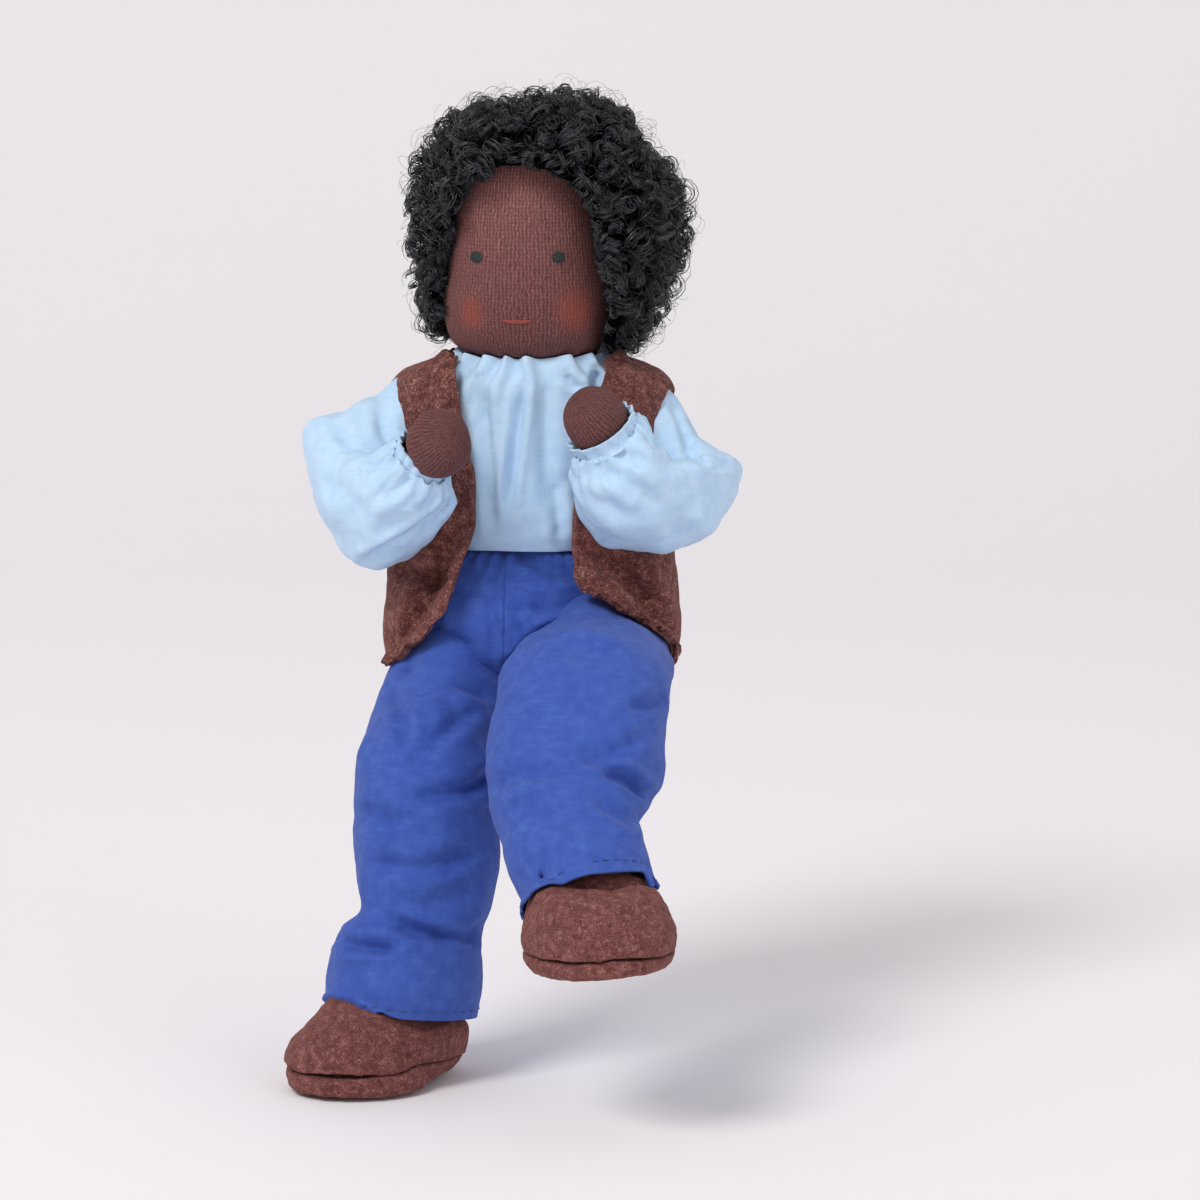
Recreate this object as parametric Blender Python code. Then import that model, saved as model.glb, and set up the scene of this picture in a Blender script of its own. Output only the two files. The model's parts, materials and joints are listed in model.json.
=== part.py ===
"""A seated bendy doll: cloth clothes over stuffing, on a wound wire armature.

Metres, +Z up, the doll faces -Y and its left side is +X. The origin lies in the middle of the flat
seat of the trousers. Every limb segment hangs from an empty on its joint, along the empty's own -Z.
"""

import math

import bmesh
import bpy
from mathutils import Matrix, Vector

# Fits shared by all pieces
GAP = 0.0003
OVERRUN = 0.004
CLOTH = 0.0006
FELT = 0.0012
SEAM_STEP = 0.0001

# Armature
WIRE_RADIUS = 0.0006
TIP_RADIUS = 0.00115
ELBOW_BALL = 0.0028
WRIST_BALL = 0.0022
KNEE_BALL = 0.0032
ANKLE_BALL = 0.0022
SHOULDER_BALL = 0.0022
HIP_BALL = 0.0024
NECK_BALL = 0.0021
WAIST_BALL = 0.0030
ARM_WINDING = 0.0026
LEG_WINDING = 0.0045
WINDING_FLARE = 0.36

# Joint places
HIP_SPREAD = 0.009
HIP_DEPTH = 0.002
HIP_HEIGHT = 0.010
WAIST_HEIGHT = 0.0210
SHOULDER_SPREAD = 0.0175
SHOULDER_HEIGHT = 0.0385
NECK_HEIGHT = 0.0443

# Limb lengths
THIGH_LENGTH = 0.030
SHIN_LENGTH = 0.034
UPPER_ARM_LENGTH = 0.0173
FOREARM_LENGTH = 0.0190

# Trunk
LAP_HALF_WIDTH = 0.0135
LAP_HALF_DEPTH = 0.0078
LAP_TOP = 0.0187
LAP_SHIFT = 0.0025
CHEST_HALF_WIDTH = 0.0125
CHEST_HALF_DEPTH = 0.0085
CHEST_BOTTOM = 0.0232
THIGH_NOTCH = 0.0062

# Clothes on the trunk
SEAT_HALF_WIDTH = 0.0179
SEAT_HALF_DEPTH = 0.0114
SEAT_FULLNESS = 0.0095
SEAT_EDGE = 0.0045
WAISTBAND_HEIGHT = 0.0205
SHIRT_HALF_WIDTH = 0.0172
SHIRT_HALF_DEPTH = 0.0106
SHIRT_HEM = 0.0170
NECKLINE_RADIUS = 0.0068
COLLAR_RADIUS = 0.0093
COLLAR_RISE = 0.0020
COLLAR_THREAD = 0.0005
VEST_HALF_WIDTH = 0.0203
VEST_HALF_DEPTH = 0.0132
VEST_HEM = 0.0015
VEST_TOP = 0.0450
VEST_NECK = 0.0113
VEST_ARMHOLE = 0.0070
VEST_OPENING_TOP = 0.0100
VEST_OPENING_WAIST = 0.0068
VEST_OPENING_LAP = 0.0088
VEST_OPENING_HEM = 0.0195
VEST_FLARE_HEIGHT = 0.0160

# Heights under the vest, from its top down
SHIRT_TOP = VEST_TOP - FELT - GAP
CHEST_TOP = SHIRT_TOP - CLOTH - GAP
COLLAR_TOP = SHIRT_TOP + COLLAR_RISE

# Arms
SLEEVE_HALF_WIDTH = 0.0086
UPPER_PUFF_HALF_LENGTH = 0.0130
LOWER_PUFF_HALF_LENGTH = 0.0118
CUFF_THREAD = 0.0005
CUFF_SETBACK = 0.0022
HAND_RADIUS = 0.0042
HAND_LENGTH = 0.0098

# Legs
THIGH_TROUSER_RADIUS = 0.0098
KNEE_TROUSER_RADIUS = 0.0102
HEM_TROUSER_RADIUS = 0.0094
HEM_SETBACK = 0.0006

# Shoes
SHOE_HALF_WIDTH = 0.0102
SHOE_HALF_LENGTH = 0.0140
SHOE_HEIGHT = 0.0096
SOLE_THICKNESS = 0.0031
SOLE_EDGE = 0.0003
ANKLE_HEIGHT = 0.0090
TOE_LEAD = 0.0040
SHOE_MOUTH = 0.0068

# Height of the shoe upper's edge below the ankle joint
SHOE_BASE = SOLE_THICKNESS + GAP - ANKLE_HEIGHT

# Head
HEAD_HALF_WIDTH = 0.0120
HEAD_HEIGHT = 0.0340
HEAD_LIFT = 0.0013
HEAD_DEPTH_SHARE = 0.96
JERSEY = 0.0006
EYE_RADIUS = 0.0009
EYE_SPACING = 0.0112
EYE_HEIGHT = 0.0158
MOUTH_WIDTH = 0.0042
MOUTH_HEIGHT = 0.0069
MOUTH_RADIUS = 0.00035
HAIR_HALF_WIDTH = 0.0197
HAIR_HALF_DEPTH = 0.0180
HAIR_HALF_HEIGHT = 0.0188
HAIR_MIDDLE = 0.0203
HAIR_SHIFT = 0.0024
HAIR_BACK = 0.0030
HAIR_LUMP = 0.0007
FACE_HALF_WIDTH = 0.0124
FACE_TOP = 0.0286

# Poses of the limbs at rest, in degrees: swing forward from straight down, then turn outward
SIDES = {"right": -1, "left": 1}
THIGH_POSE = {"right": (48.5, 15.5), "left": (75.0, -4.0)}
SHIN_POSE = {"right": (9.5, 36.0), "left": (43.5, 9.0)}
UPPER_ARM_POSE = {"right": (28.0, 46.0), "left": (28.5, 42.0)}
FOREARM_POSE = {"right": (124.0, -37.0), "left": (127.6, -44.0)}
FOOT_TURN = {"right": 43.0, "left": 10.0}
HEAD_TURN = 10.0

# Fineness of the round shapes
ROUND = 16
RINGS = 10
BALL_SIDES = 12
BALL_RINGS = 8
BORE_SIDES = 8
THREAD_SIDES = 6
FINE_SIDES = 20
FINER_SIDES = 24
FINER_RINGS = 14
HAND_SIDES = 14
HAND_STEPS = 10
MOUTH_STEPS = 8
MERGE_DISTANCE = GAP / 100
SHARP_ANGLE = 40.0

# Shares of a form's own sizes
HEAD_PROFILE_SHARES = (
    (0.0, 0.0), (0.52, 0.005), (0.78, 0.05), (0.94, 0.16), (1.0, 0.30), (0.96, 0.44),
    (0.87, 0.60), (0.76, 0.73), (0.58, 0.86), (0.32, 0.96), (0.0, 1.0),
)
UPPER_PUFF_SHARE = 0.49
LOWER_PUFF_SHARE = 0.42
BUTT_SHARE = 0.4
NAPE_SHARE = 1 / 12
MOUTH_TAPER_SHARE = 0.55
INSET_RAMP = 3

# Powers that take a round section towards a rounded box
STUFFING_POWER = 2.4
SEAT_POWER = 2.4
SHIRT_SECTION_POWER = 2.3
SHIRT_SIDE_POWER = 3.2
VEST_SECTION_POWER = 2.6
VEST_SIDE_POWER = 5.5
SHOE_SECTION_POWER = 2.2
HAIR_SIDE_POWER = 2.3

# Waves of the hair round the head, up it, and their twist
HAIR_WAVES_AROUND = 6
HAIR_WAVES_UP = 8
HAIR_WAVE_TWIST = 5

COLLECTION_NAME = "bendy_doll"


def clear_scene():
    for old in list(bpy.data.objects):
        bpy.data.objects.remove(old, do_unlink=True)


def make_collection(name):
    collection = bpy.data.collections.new(name)
    bpy.context.scene.collection.children.link(collection)
    return collection


def material(name, colour, roughness, metallic=0.0):
    found = bpy.data.materials.get(name)
    if found:
        return found
    made = bpy.data.materials.new(name)
    made.use_nodes = True
    shader = made.node_tree.nodes["Principled BSDF"]
    shader.inputs["Base Color"].default_value = (*colour, 1.0)
    shader.inputs["Roughness"].default_value = roughness
    shader.inputs["Metallic"].default_value = metallic
    made.diffuse_color = (*colour, 1.0)
    return made


def add_mesh(name, bm, parent, finish):
    """One sub-part from a bmesh in its parent's own frame."""
    bmesh.ops.recalc_face_normals(bm, faces=bm.faces)
    mesh = bpy.data.meshes.new(name)
    bm.to_mesh(mesh)
    bm.free()
    mesh.shade_smooth()
    mesh.set_sharp_from_angle(angle=math.radians(SHARP_ANGLE))
    made = bpy.data.objects.new(name, mesh)
    if finish is None:
        cutters.objects.link(made)
        made.hide_render = True
        made.display_type = "WIRE"
    else:
        mesh.materials.append(finish)
        parts.objects.link(made)
    made.parent = parent
    return made


def boolean(target, cutter, operation="DIFFERENCE"):
    step = target.modifiers.new(f"{operation.lower()} {cutter.name}", "BOOLEAN")
    step.operation = operation
    step.object = cutter
    step.solver = "EXACT"
    return step


def direction(swing, turn, side):
    """Unit vector of a limb that swings forward from straight down and then turns outward."""
    lean = math.radians(swing)
    around = math.radians(turn)
    return Vector((
        side * math.sin(lean) * math.sin(around),
        -math.sin(lean) * math.cos(around),
        -math.cos(lean),
    ))


def limb_frame(name, place, along, side_axis):
    """Empty on a joint, with its -Z along the limb and its X near the side axis."""
    up = -along.normalized()
    across = (side_axis - up * side_axis.dot(up)).normalized()
    ahead = up.cross(across)
    turned = Matrix((across, ahead, up)).transposed().to_4x4()
    made = bpy.data.objects.new(name, None)
    parts.objects.link(made)
    made.empty_display_size = OVERRUN
    made.matrix_world = Matrix.Translation(place) @ turned
    return made


def turned_form(profile, steps=ROUND):
    """Closed form of (radius, height) points spun about Z; a loop if it starts off the axis."""
    bm = bmesh.new()
    points = [bm.verts.new((radius, 0, height)) for radius, height in profile]
    edges = [bm.edges.new(pair) for pair in zip(points, points[1:])]
    if profile[0][0] > 0:
        edges.append(bm.edges.new((points[-1], points[0])))
    bmesh.ops.spin(
        bm,
        geom=points + edges,
        axis=(0, 0, 1),
        cent=(0, 0, 0),
        angle=math.tau,
        steps=steps,
        use_merge=True,
    )
    bmesh.ops.remove_doubles(bm, verts=bm.verts, dist=MERGE_DISTANCE)
    return bm


def thread_ring(radius, height, thickness):
    """Closed ring of thread about Z."""
    bm = bmesh.new()
    circle = bmesh.ops.create_circle(bm, segments=THREAD_SIDES, radius=thickness)
    bmesh.ops.rotate(bm, verts=circle["verts"], cent=(0, 0, 0), matrix=Matrix.Rotation(math.pi / 2, 3, "X"))
    bmesh.ops.translate(bm, verts=circle["verts"], vec=(radius, 0, height))
    bmesh.ops.spin(
        bm, geom=bm.verts[:] + bm.edges[:], axis=(0, 0, 1), cent=(0, 0, 0), angle=math.tau,
        steps=ROUND, use_merge=True,
    )
    bmesh.ops.remove_doubles(bm, verts=bm.verts, dist=MERGE_DISTANCE)
    return bm


def ball(radius):
    bm = bmesh.new()
    bmesh.ops.create_uvsphere(bm, u_segments=BALL_SIDES, v_segments=BALL_RINGS, radius=radius)
    return bm


def rounded_form(half_sizes, centre, section_power=2.0, side_power=2.0, segments=ROUND, rings=RINGS):
    """Closed round form that goes from an ellipsoid at powers of 2 towards a rounded box at high powers."""
    bm = bmesh.new()
    bmesh.ops.create_uvsphere(bm, u_segments=segments, v_segments=rings, radius=1)
    for vert in bm.verts:
        x, y, z = vert.co
        flat = math.hypot(x, y)
        reach = (flat ** side_power + abs(z) ** side_power) ** (-1 / side_power)
        widen = 1.0
        if flat > 0:
            share_x = abs(x) / flat
            share_y = abs(y) / flat
            widen = (share_x ** section_power + share_y ** section_power) ** (-1 / section_power)
        vert.co = (
            centre[0] + half_sizes[0] * x * reach * widen,
            centre[1] + half_sizes[1] * y * reach * widen,
            centre[2] + half_sizes[2] * z * reach,
        )
    return bm


def box(low, high):
    bm = bmesh.new()
    middle = [(a + b) / 2 for a, b in zip(low, high)]
    size = [b - a for a, b in zip(low, high)]
    bmesh.ops.create_cube(bm, size=1, matrix=Matrix.Translation(middle) @ Matrix.Diagonal((*size, 1)))
    return bm


def rod(radius, low, high, segments=BORE_SIDES):
    """Closed round bar along Z between two heights."""
    bm = bmesh.new()
    bmesh.ops.create_cone(
        bm,
        cap_ends=True,
        segments=segments,
        radius1=radius,
        radius2=radius,
        depth=high - low,
        matrix=Matrix.Translation((0, 0, (low + high) / 2)),
    )
    return bm


def crosswise_rod(radius, half_length, place):
    """Closed round bar along X about a place."""
    bm = rod(radius, -half_length, half_length)
    bmesh.ops.transform(
        bm, verts=bm.verts, matrix=Matrix.Translation(place) @ Matrix.Rotation(math.pi / 2, 4, "Y")
    )
    return bm


def tapered_capsule(length, top_radius, bottom_radius, segments=ROUND):
    """Closed bar down -Z with a dome at each end, centred on the ends of its length."""
    profile = [(0, -length - bottom_radius)]
    dome = RINGS // 2
    for step in range(1, dome + 1):
        angle = math.pi / 2 * step / dome
        profile.append((bottom_radius * math.sin(angle), -length - bottom_radius * math.cos(angle)))
    for step in range(dome, 0, -1):
        angle = math.pi / 2 * step / dome
        profile.append((top_radius * math.sin(angle), top_radius * math.cos(angle)))
    profile.append((0, top_radius))
    return turned_form(profile, segments)


def winding_form(length, first_ball, next_ball, full_radius, starts_on_ball):
    """Thread wound round a straight run of wire: thin at its bends, full between them, and bored.

    A run that starts on a ball turns about it; any other run is hollowed to seat on its neighbour's ball.
    """
    bore = WIRE_RADIUS + GAP
    profile = []
    if starts_on_ball:
        top = math.sqrt(first_ball ** 2 - bore ** 2)
        profile.append((bore, top))
        first_angle = math.atan2(bore, top)
        last_angle = math.pi - math.asin(TIP_RADIUS / first_ball)
        for step in range(1, 5):
            angle = first_angle + (last_angle - first_angle) * step / 4
            profile.append((first_ball * math.sin(angle), first_ball * math.cos(angle)))
        start = math.sqrt(first_ball ** 2 - TIP_RADIUS ** 2)
    else:
        seat = first_ball + GAP
        profile.append((bore, -math.sqrt(seat ** 2 - bore ** 2)))
        start = math.sqrt(seat ** 2 - TIP_RADIUS ** 2)
        profile.append((TIP_RADIUS, -start))
    seat = next_ball + GAP
    finish = length - math.sqrt(seat ** 2 - TIP_RADIUS ** 2)
    swell = (full_radius - TIP_RADIUS) / WINDING_FLARE
    top_full = min(start + swell, (start + finish) / 2)
    bottom_full = max(finish - swell, (start + finish) / 2)
    full = TIP_RADIUS + (top_full - start) * WINDING_FLARE
    profile.append((full, -top_full))
    if bottom_full - top_full > GAP:
        profile.append((full, -bottom_full))
    profile.append((TIP_RADIUS, -finish))
    profile.append((bore, -length + math.sqrt(seat ** 2 - bore ** 2)))
    return turned_form(profile, BALL_SIDES)


def make_winding(name, frame, length, first_ball, next_ball, full_radius, starts_on_ball):
    """Winding of one run and the wire in its bore."""
    form = winding_form(length, first_ball, next_ball, full_radius, starts_on_ball)
    add_mesh(f"{name}_winding", form, frame, COTTON_THREAD)
    start = -first_ball * BUTT_SHARE if starts_on_ball else first_ball + GAP
    finish = length - next_ball - GAP
    add_mesh(f"{name}_wire", rod(WIRE_RADIUS, -finish, -start), frame, WIRE_STEEL)


def bend_ball(name, frame, radius):
    """Wound ball of a bend that turns two ways."""
    add_mesh(name, ball(radius), frame, COTTON_THREAD)


def make_trunk():
    """Lower body, chest and the wire run through them."""
    lap_half_height = (LAP_TOP - CLOTH - GAP) / 2
    lap_middle = CLOTH + GAP + lap_half_height
    lap = add_mesh(
        "lower_body_stuffing",
        rounded_form(
            (LAP_HALF_WIDTH, LAP_HALF_DEPTH, lap_half_height),
            (0, LAP_SHIFT, lap_middle),
            side_power=STUFFING_POWER,
        ),
        frames["pelvis"],
        STUFFING,
    )
    waist_socket = add_mesh("waist_socket_cutter", ball(WAIST_BALL + GAP), frames["waist"], None)
    boolean(lap, waist_socket)
    for side, sign in SIDES.items():
        low_x = sign * HIP_SPREAD - THIGH_NOTCH
        high_x = sign * HIP_SPREAD + THIGH_NOTCH
        notch = add_mesh(
            f"{side}_thigh_notch_cutter",
            box(
                (low_x, -LAP_HALF_DEPTH - OVERRUN, -OVERRUN),
                (high_x, THIGH_NOTCH - HIP_DEPTH, HIP_HEIGHT + THIGH_NOTCH),
            ),
            frames["pelvis"],
            None,
        )
        boolean(lap, notch)
    hip_middle = (0, -HIP_DEPTH, HIP_HEIGHT)
    hip_run = HIP_SPREAD - HIP_BALL - GAP
    crossbar = crosswise_rod(WIRE_RADIUS, hip_run, hip_middle)
    hip_wire = add_mesh("hip_wire", crossbar, frames["pelvis"], WIRE_STEEL)
    riser_form = rod(WIRE_RADIUS, HIP_HEIGHT, WAIST_HEIGHT - WAIST_BALL - GAP)
    bmesh.ops.translate(riser_form, verts=riser_form.verts, vec=(0, -HIP_DEPTH, 0))
    riser = add_mesh("hip_wire_riser_cutter", riser_form, frames["pelvis"], None)
    boolean(hip_wire, riser, "UNION")
    crossbar_bore = crosswise_rod(WIRE_RADIUS + GAP, hip_run + OVERRUN, hip_middle)
    boolean(lap, add_mesh("hip_crossbar_bore_cutter", crossbar_bore, frames["pelvis"], None))
    riser_bore = rod(WIRE_RADIUS + GAP, HIP_HEIGHT, WAIST_HEIGHT + OVERRUN)
    bmesh.ops.translate(riser_bore, verts=riser_bore.verts, vec=(0, -HIP_DEPTH, 0))
    boolean(lap, add_mesh("hip_riser_bore_cutter", riser_bore, frames["pelvis"], None))

    bend_ball("waist_bend", frames["waist"], WAIST_BALL)

    chest_half_height = (CHEST_TOP - CHEST_BOTTOM) / 2
    chest = add_mesh(
        "chest_stuffing",
        rounded_form(
            (CHEST_HALF_WIDTH, CHEST_HALF_DEPTH, chest_half_height),
            (0, 0, CHEST_BOTTOM + chest_half_height),
            side_power=STUFFING_POWER,
        ),
        frames["pelvis"],
        STUFFING,
    )
    boolean(chest, waist_socket)
    boolean(chest, add_mesh("neck_socket_cutter", ball(NECK_BALL + GAP), frames["neck"], None))
    shoulder_run = SHOULDER_SPREAD - SHOULDER_BALL - GAP
    spine_low = WAIST_HEIGHT + WAIST_BALL + GAP
    spine_high = NECK_HEIGHT - NECK_BALL - GAP
    yoke_middle = (0, 0, SHOULDER_HEIGHT)
    yoke = crosswise_rod(WIRE_RADIUS, shoulder_run, yoke_middle)
    shoulder_wire = add_mesh("shoulder_wire", yoke, frames["pelvis"], WIRE_STEEL)
    spine = add_mesh("spine_wire_cutter", rod(WIRE_RADIUS, spine_low, spine_high), frames["pelvis"], None)
    boolean(shoulder_wire, spine, "UNION")
    yoke_bore = crosswise_rod(WIRE_RADIUS + GAP, shoulder_run + OVERRUN, yoke_middle)
    boolean(chest, add_mesh("shoulder_bore_cutter", yoke_bore, frames["pelvis"], None))
    spine_bore = rod(WIRE_RADIUS + GAP, spine_low - OVERRUN, spine_high + OVERRUN)
    boolean(chest, add_mesh("spine_bore_cutter", spine_bore, frames["pelvis"], None))
    bend_ball("neck_bend", frames["neck"], NECK_BALL)


def thigh_form(offset):
    """Whole form of a trouser leg's thigh, grown by an offset."""
    return tapered_capsule(THIGH_LENGTH, THIGH_TROUSER_RADIUS + offset, KNEE_TROUSER_RADIUS + offset)


def shin_form(offset):
    """Whole form of a trouser leg's shin, a step smaller at the knee than its thigh."""
    return tapered_capsule(
        SHIN_LENGTH, KNEE_TROUSER_RADIUS - SEAM_STEP + offset, HEM_TROUSER_RADIUS + offset
    )


def shoe_whole(inset):
    """Closed round form of a shoe, with its middle just above the sole."""
    centre = (0, -TOE_LEAD, SHOE_BASE)
    return rounded_form(
        (SHOE_HALF_WIDTH - inset, SHOE_HALF_LENGTH - inset, SHOE_HEIGHT - inset),
        centre,
        section_power=SHOE_SECTION_POWER,
    )


def shoe_dome(inset):
    """Closed half form of a shoe, flat just above the sole."""
    form = shoe_whole(inset)
    cut = bmesh.ops.bisect_plane(
        form,
        geom=form.verts[:] + form.edges[:] + form.faces[:],
        plane_co=(0, 0, SHOE_BASE),
        plane_no=(0, 0, 1),
        clear_inner=True,
        dist=MERGE_DISTANCE,
    )
    rim = [item for item in cut["geom_cut"] if isinstance(item, bmesh.types.BMEdge)]
    bmesh.ops.holes_fill(form, edges=rim)
    return form


def seat_form(offset):
    """Whole round form of the trousers' seat, grown by an offset."""
    half_height = WAISTBAND_HEIGHT - SEAT_FULLNESS + OVERRUN / 2
    half_sizes = (SEAT_HALF_WIDTH + offset, SEAT_HALF_DEPTH + offset, half_height + offset)
    return rounded_form(half_sizes, (0, 0, SEAT_FULLNESS), SEAT_POWER, SEAT_POWER, FINE_SIDES)


def make_trousers():
    """Seat of the trousers, and two legs that start at the seat and end at the hems."""
    seat = add_mesh("trouser_seat", seat_form(0), frames["pelvis"], BLUE_COTTON)
    below = add_mesh(
        "support_cutter",
        box((-SEAT_HALF_WIDTH * 2, -SEAT_HALF_DEPTH * 2, -SEAT_HALF_DEPTH * 2),
            (SEAT_HALF_WIDTH * 2, SEAT_HALF_DEPTH * 2, 0)),
        frames["pelvis"],
        None,
    )
    boolean(seat, below)
    hollow = add_mesh("seat_hollow_cutter", seat_form(-CLOTH), frames["pelvis"], None)
    floor = add_mesh(
        "seat_floor_cutter",
        box((-SEAT_HALF_WIDTH * 2, -SEAT_HALF_DEPTH * 2, -SEAT_HALF_DEPTH * 2),
            (SEAT_HALF_WIDTH * 2, SEAT_HALF_DEPTH * 2, CLOTH)),
        frames["pelvis"],
        None,
    )
    boolean(hollow, floor)
    boolean(seat, hollow)
    above = add_mesh(
        "waist_opening_cutter",
        box((-SEAT_HALF_WIDTH * 2, -SEAT_HALF_DEPTH * 2, WAISTBAND_HEIGHT),
            (SEAT_HALF_WIDTH * 2, SEAT_HALF_DEPTH * 2, WAISTBAND_HEIGHT + SEAT_HALF_DEPTH)),
        frames["pelvis"],
        None,
    )
    boolean(seat, above)
    envelope = add_mesh("seat_envelope_cutter", seat_form(GAP), frames["pelvis"], None)
    support = add_mesh(
        "support_block_cutter",
        box((-SEAT_HALF_WIDTH * 2, -SEAT_EDGE, -SEAT_HALF_DEPTH * 3),
            (SEAT_HALF_WIDTH * 2, SEAT_HALF_DEPTH * 3, 0)),
        frames["pelvis"],
        None,
    )
    padded_support = add_mesh(
        "padded_support_cutter",
        box((-SEAT_HALF_WIDTH * 2, -SEAT_EDGE - CLOTH, -SEAT_HALF_DEPTH * 3),
            (SEAT_HALF_WIDTH * 2, SEAT_HALF_DEPTH * 3, CLOTH)),
        frames["pelvis"],
        None,
    )
    for side in SIDES:
        thigh_frame = frames[f"{side}_thigh"]
        shin_frame = frames[f"{side}_shin"]
        shoe_frame = frames[f"{side}_foot"]
        leg = add_mesh(f"{side}_trouser_leg", thigh_form(0), thigh_frame, BLUE_COTTON)
        shin_solid = add_mesh(f"{side}_leg_shin_cutter", shin_form(0), shin_frame, None)
        boolean(leg, shin_solid, "UNION")
        thigh_hollow = add_mesh(f"{side}_thigh_hollow_cutter", thigh_form(-CLOTH), thigh_frame, None)
        shin_hollow = add_mesh(f"{side}_shin_hollow_cutter", shin_form(-CLOTH), shin_frame, None)
        for hollow_part in (thigh_hollow, shin_hollow):
            boolean(hollow_part, padded_support)
            boolean(leg, hollow_part)
        boolean(leg, envelope)
        boolean(leg, support)
        reach = HEM_TROUSER_RADIUS * 3
        hem_height = -SHIN_LENGTH + HEM_SETBACK
        hem = add_mesh(
            f"{side}_hem_cutter",
            box((-reach, -reach, hem_height - reach), (reach, reach, hem_height)),
            shin_frame,
            None,
        )
        boolean(leg, hem)
        shoe = add_mesh(f"{side}_shoe_envelope_cutter", shoe_whole(-FELT), shoe_frame, None)
        boolean(leg, shoe)
        mouth = add_mesh(
            f"{side}_leg_hole_cutter",
            rod(THIGH_TROUSER_RADIUS - CLOTH * 2, -THIGH_LENGTH, -HIP_HEIGHT / 2, ROUND),
            thigh_frame,
            None,
        )
        boolean(mouth, padded_support)
        boolean(seat, mouth)


def shirt_form(offset):
    """Whole round form of the shirt body, grown by an offset."""
    half_height = (SHIRT_TOP - SHIRT_HEM + OVERRUN) / 2
    half_sizes = (SHIRT_HALF_WIDTH + offset, SHIRT_HALF_DEPTH + offset, half_height + offset)
    centre = (0, 0, SHIRT_TOP - half_height)
    return rounded_form(half_sizes, centre, SHIRT_SECTION_POWER, SHIRT_SIDE_POWER, FINE_SIDES)


def vest_form(offset):
    """Whole round form of the vest, grown by an offset."""
    middle = HIP_HEIGHT + VEST_HEM / 2
    half_sizes = (VEST_HALF_WIDTH + offset, VEST_HALF_DEPTH + offset, VEST_TOP - middle + offset)
    return rounded_form(
        half_sizes, (0, 0, middle), VEST_SECTION_POWER, VEST_SIDE_POWER, FINER_SIDES, FINER_RINGS
    )


def make_shirt_and_vest():
    """Shirt body with its gathered neckline and drawing thread, and the open felt vest over it."""
    shirt = add_mesh("shirt_body", shirt_form(0), frames["pelvis"], SHIRT_COTTON)
    boolean(shirt, add_mesh("shirt_hollow_cutter", shirt_form(-CLOTH), frames["pelvis"], None))
    hem = add_mesh(
        "shirt_hem_cutter",
        box((-SHIRT_HALF_WIDTH * 2, -SHIRT_HALF_WIDTH * 2, -SHIRT_HALF_WIDTH),
            (SHIRT_HALF_WIDTH * 2, SHIRT_HALF_WIDTH * 2, WAISTBAND_HEIGHT + GAP)),
        frames["pelvis"],
        None,
    )
    boolean(shirt, hem)
    neck_hole = rod(NECKLINE_RADIUS, CHEST_BOTTOM, SHIRT_TOP + OVERRUN, ROUND)
    boolean(shirt, add_mesh("neckline_cutter", neck_hole, frames["pelvis"], None))

    collar = turned_form(
        [
            (NECKLINE_RADIUS, SHIRT_TOP - CLOTH),
            (COLLAR_RADIUS, SHIRT_TOP - CLOTH),
            (COLLAR_RADIUS, SHIRT_TOP + COLLAR_THREAD),
            (COLLAR_RADIUS - COLLAR_THREAD, SHIRT_TOP + COLLAR_THREAD * 2),
            ((NECKLINE_RADIUS + COLLAR_RADIUS) / 2, COLLAR_TOP),
            (NECKLINE_RADIUS, COLLAR_TOP - CLOTH),
        ],
        FINE_SIDES,
    )
    boolean(shirt, add_mesh("collar_cutter", collar, frames["pelvis"], None), "UNION")
    ring = COLLAR_RADIUS + GAP + COLLAR_THREAD
    thread = thread_ring(ring, SHIRT_TOP + GAP + COLLAR_THREAD, COLLAR_THREAD)
    add_mesh("neckline_thread", thread, frames["pelvis"], SHIRT_THREAD)

    vest = add_mesh("vest", vest_form(0), frames["pelvis"], BROWN_FELT)
    boolean(vest, add_mesh("vest_hollow_cutter", vest_form(-FELT), frames["pelvis"], None))
    boolean(vest, add_mesh(
        "vest_hem_cutter",
        box((-VEST_HALF_WIDTH * 2, -VEST_HALF_WIDTH * 2, -VEST_HALF_WIDTH * 2),
            (VEST_HALF_WIDTH * 2, VEST_HALF_WIDTH * 2, VEST_HEM)),
        frames["pelvis"],
        None,
    ))
    boolean(vest, add_mesh(
        "vest_neck_cutter", rod(VEST_NECK, CHEST_BOTTOM, VEST_TOP + OVERRUN, ROUND), frames["pelvis"], None
    ))
    boolean(vest, add_mesh("vest_front_cutter", front_opening(), frames["pelvis"], None))
    for side in SIDES:
        lap = add_mesh(f"{side}_vest_lap_cutter", thigh_form(GAP), frames[f"{side}_thigh"], None)
        boolean(vest, lap)
        hole_form = rod(VEST_ARMHOLE, -UPPER_ARM_LENGTH, OVERRUN, ROUND)
        hole = add_mesh(f"{side}_armhole_cutter", hole_form, frames[f"{side}_upper_arm"], None)
        boolean(vest, hole)
        boolean(shirt, hole)


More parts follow.
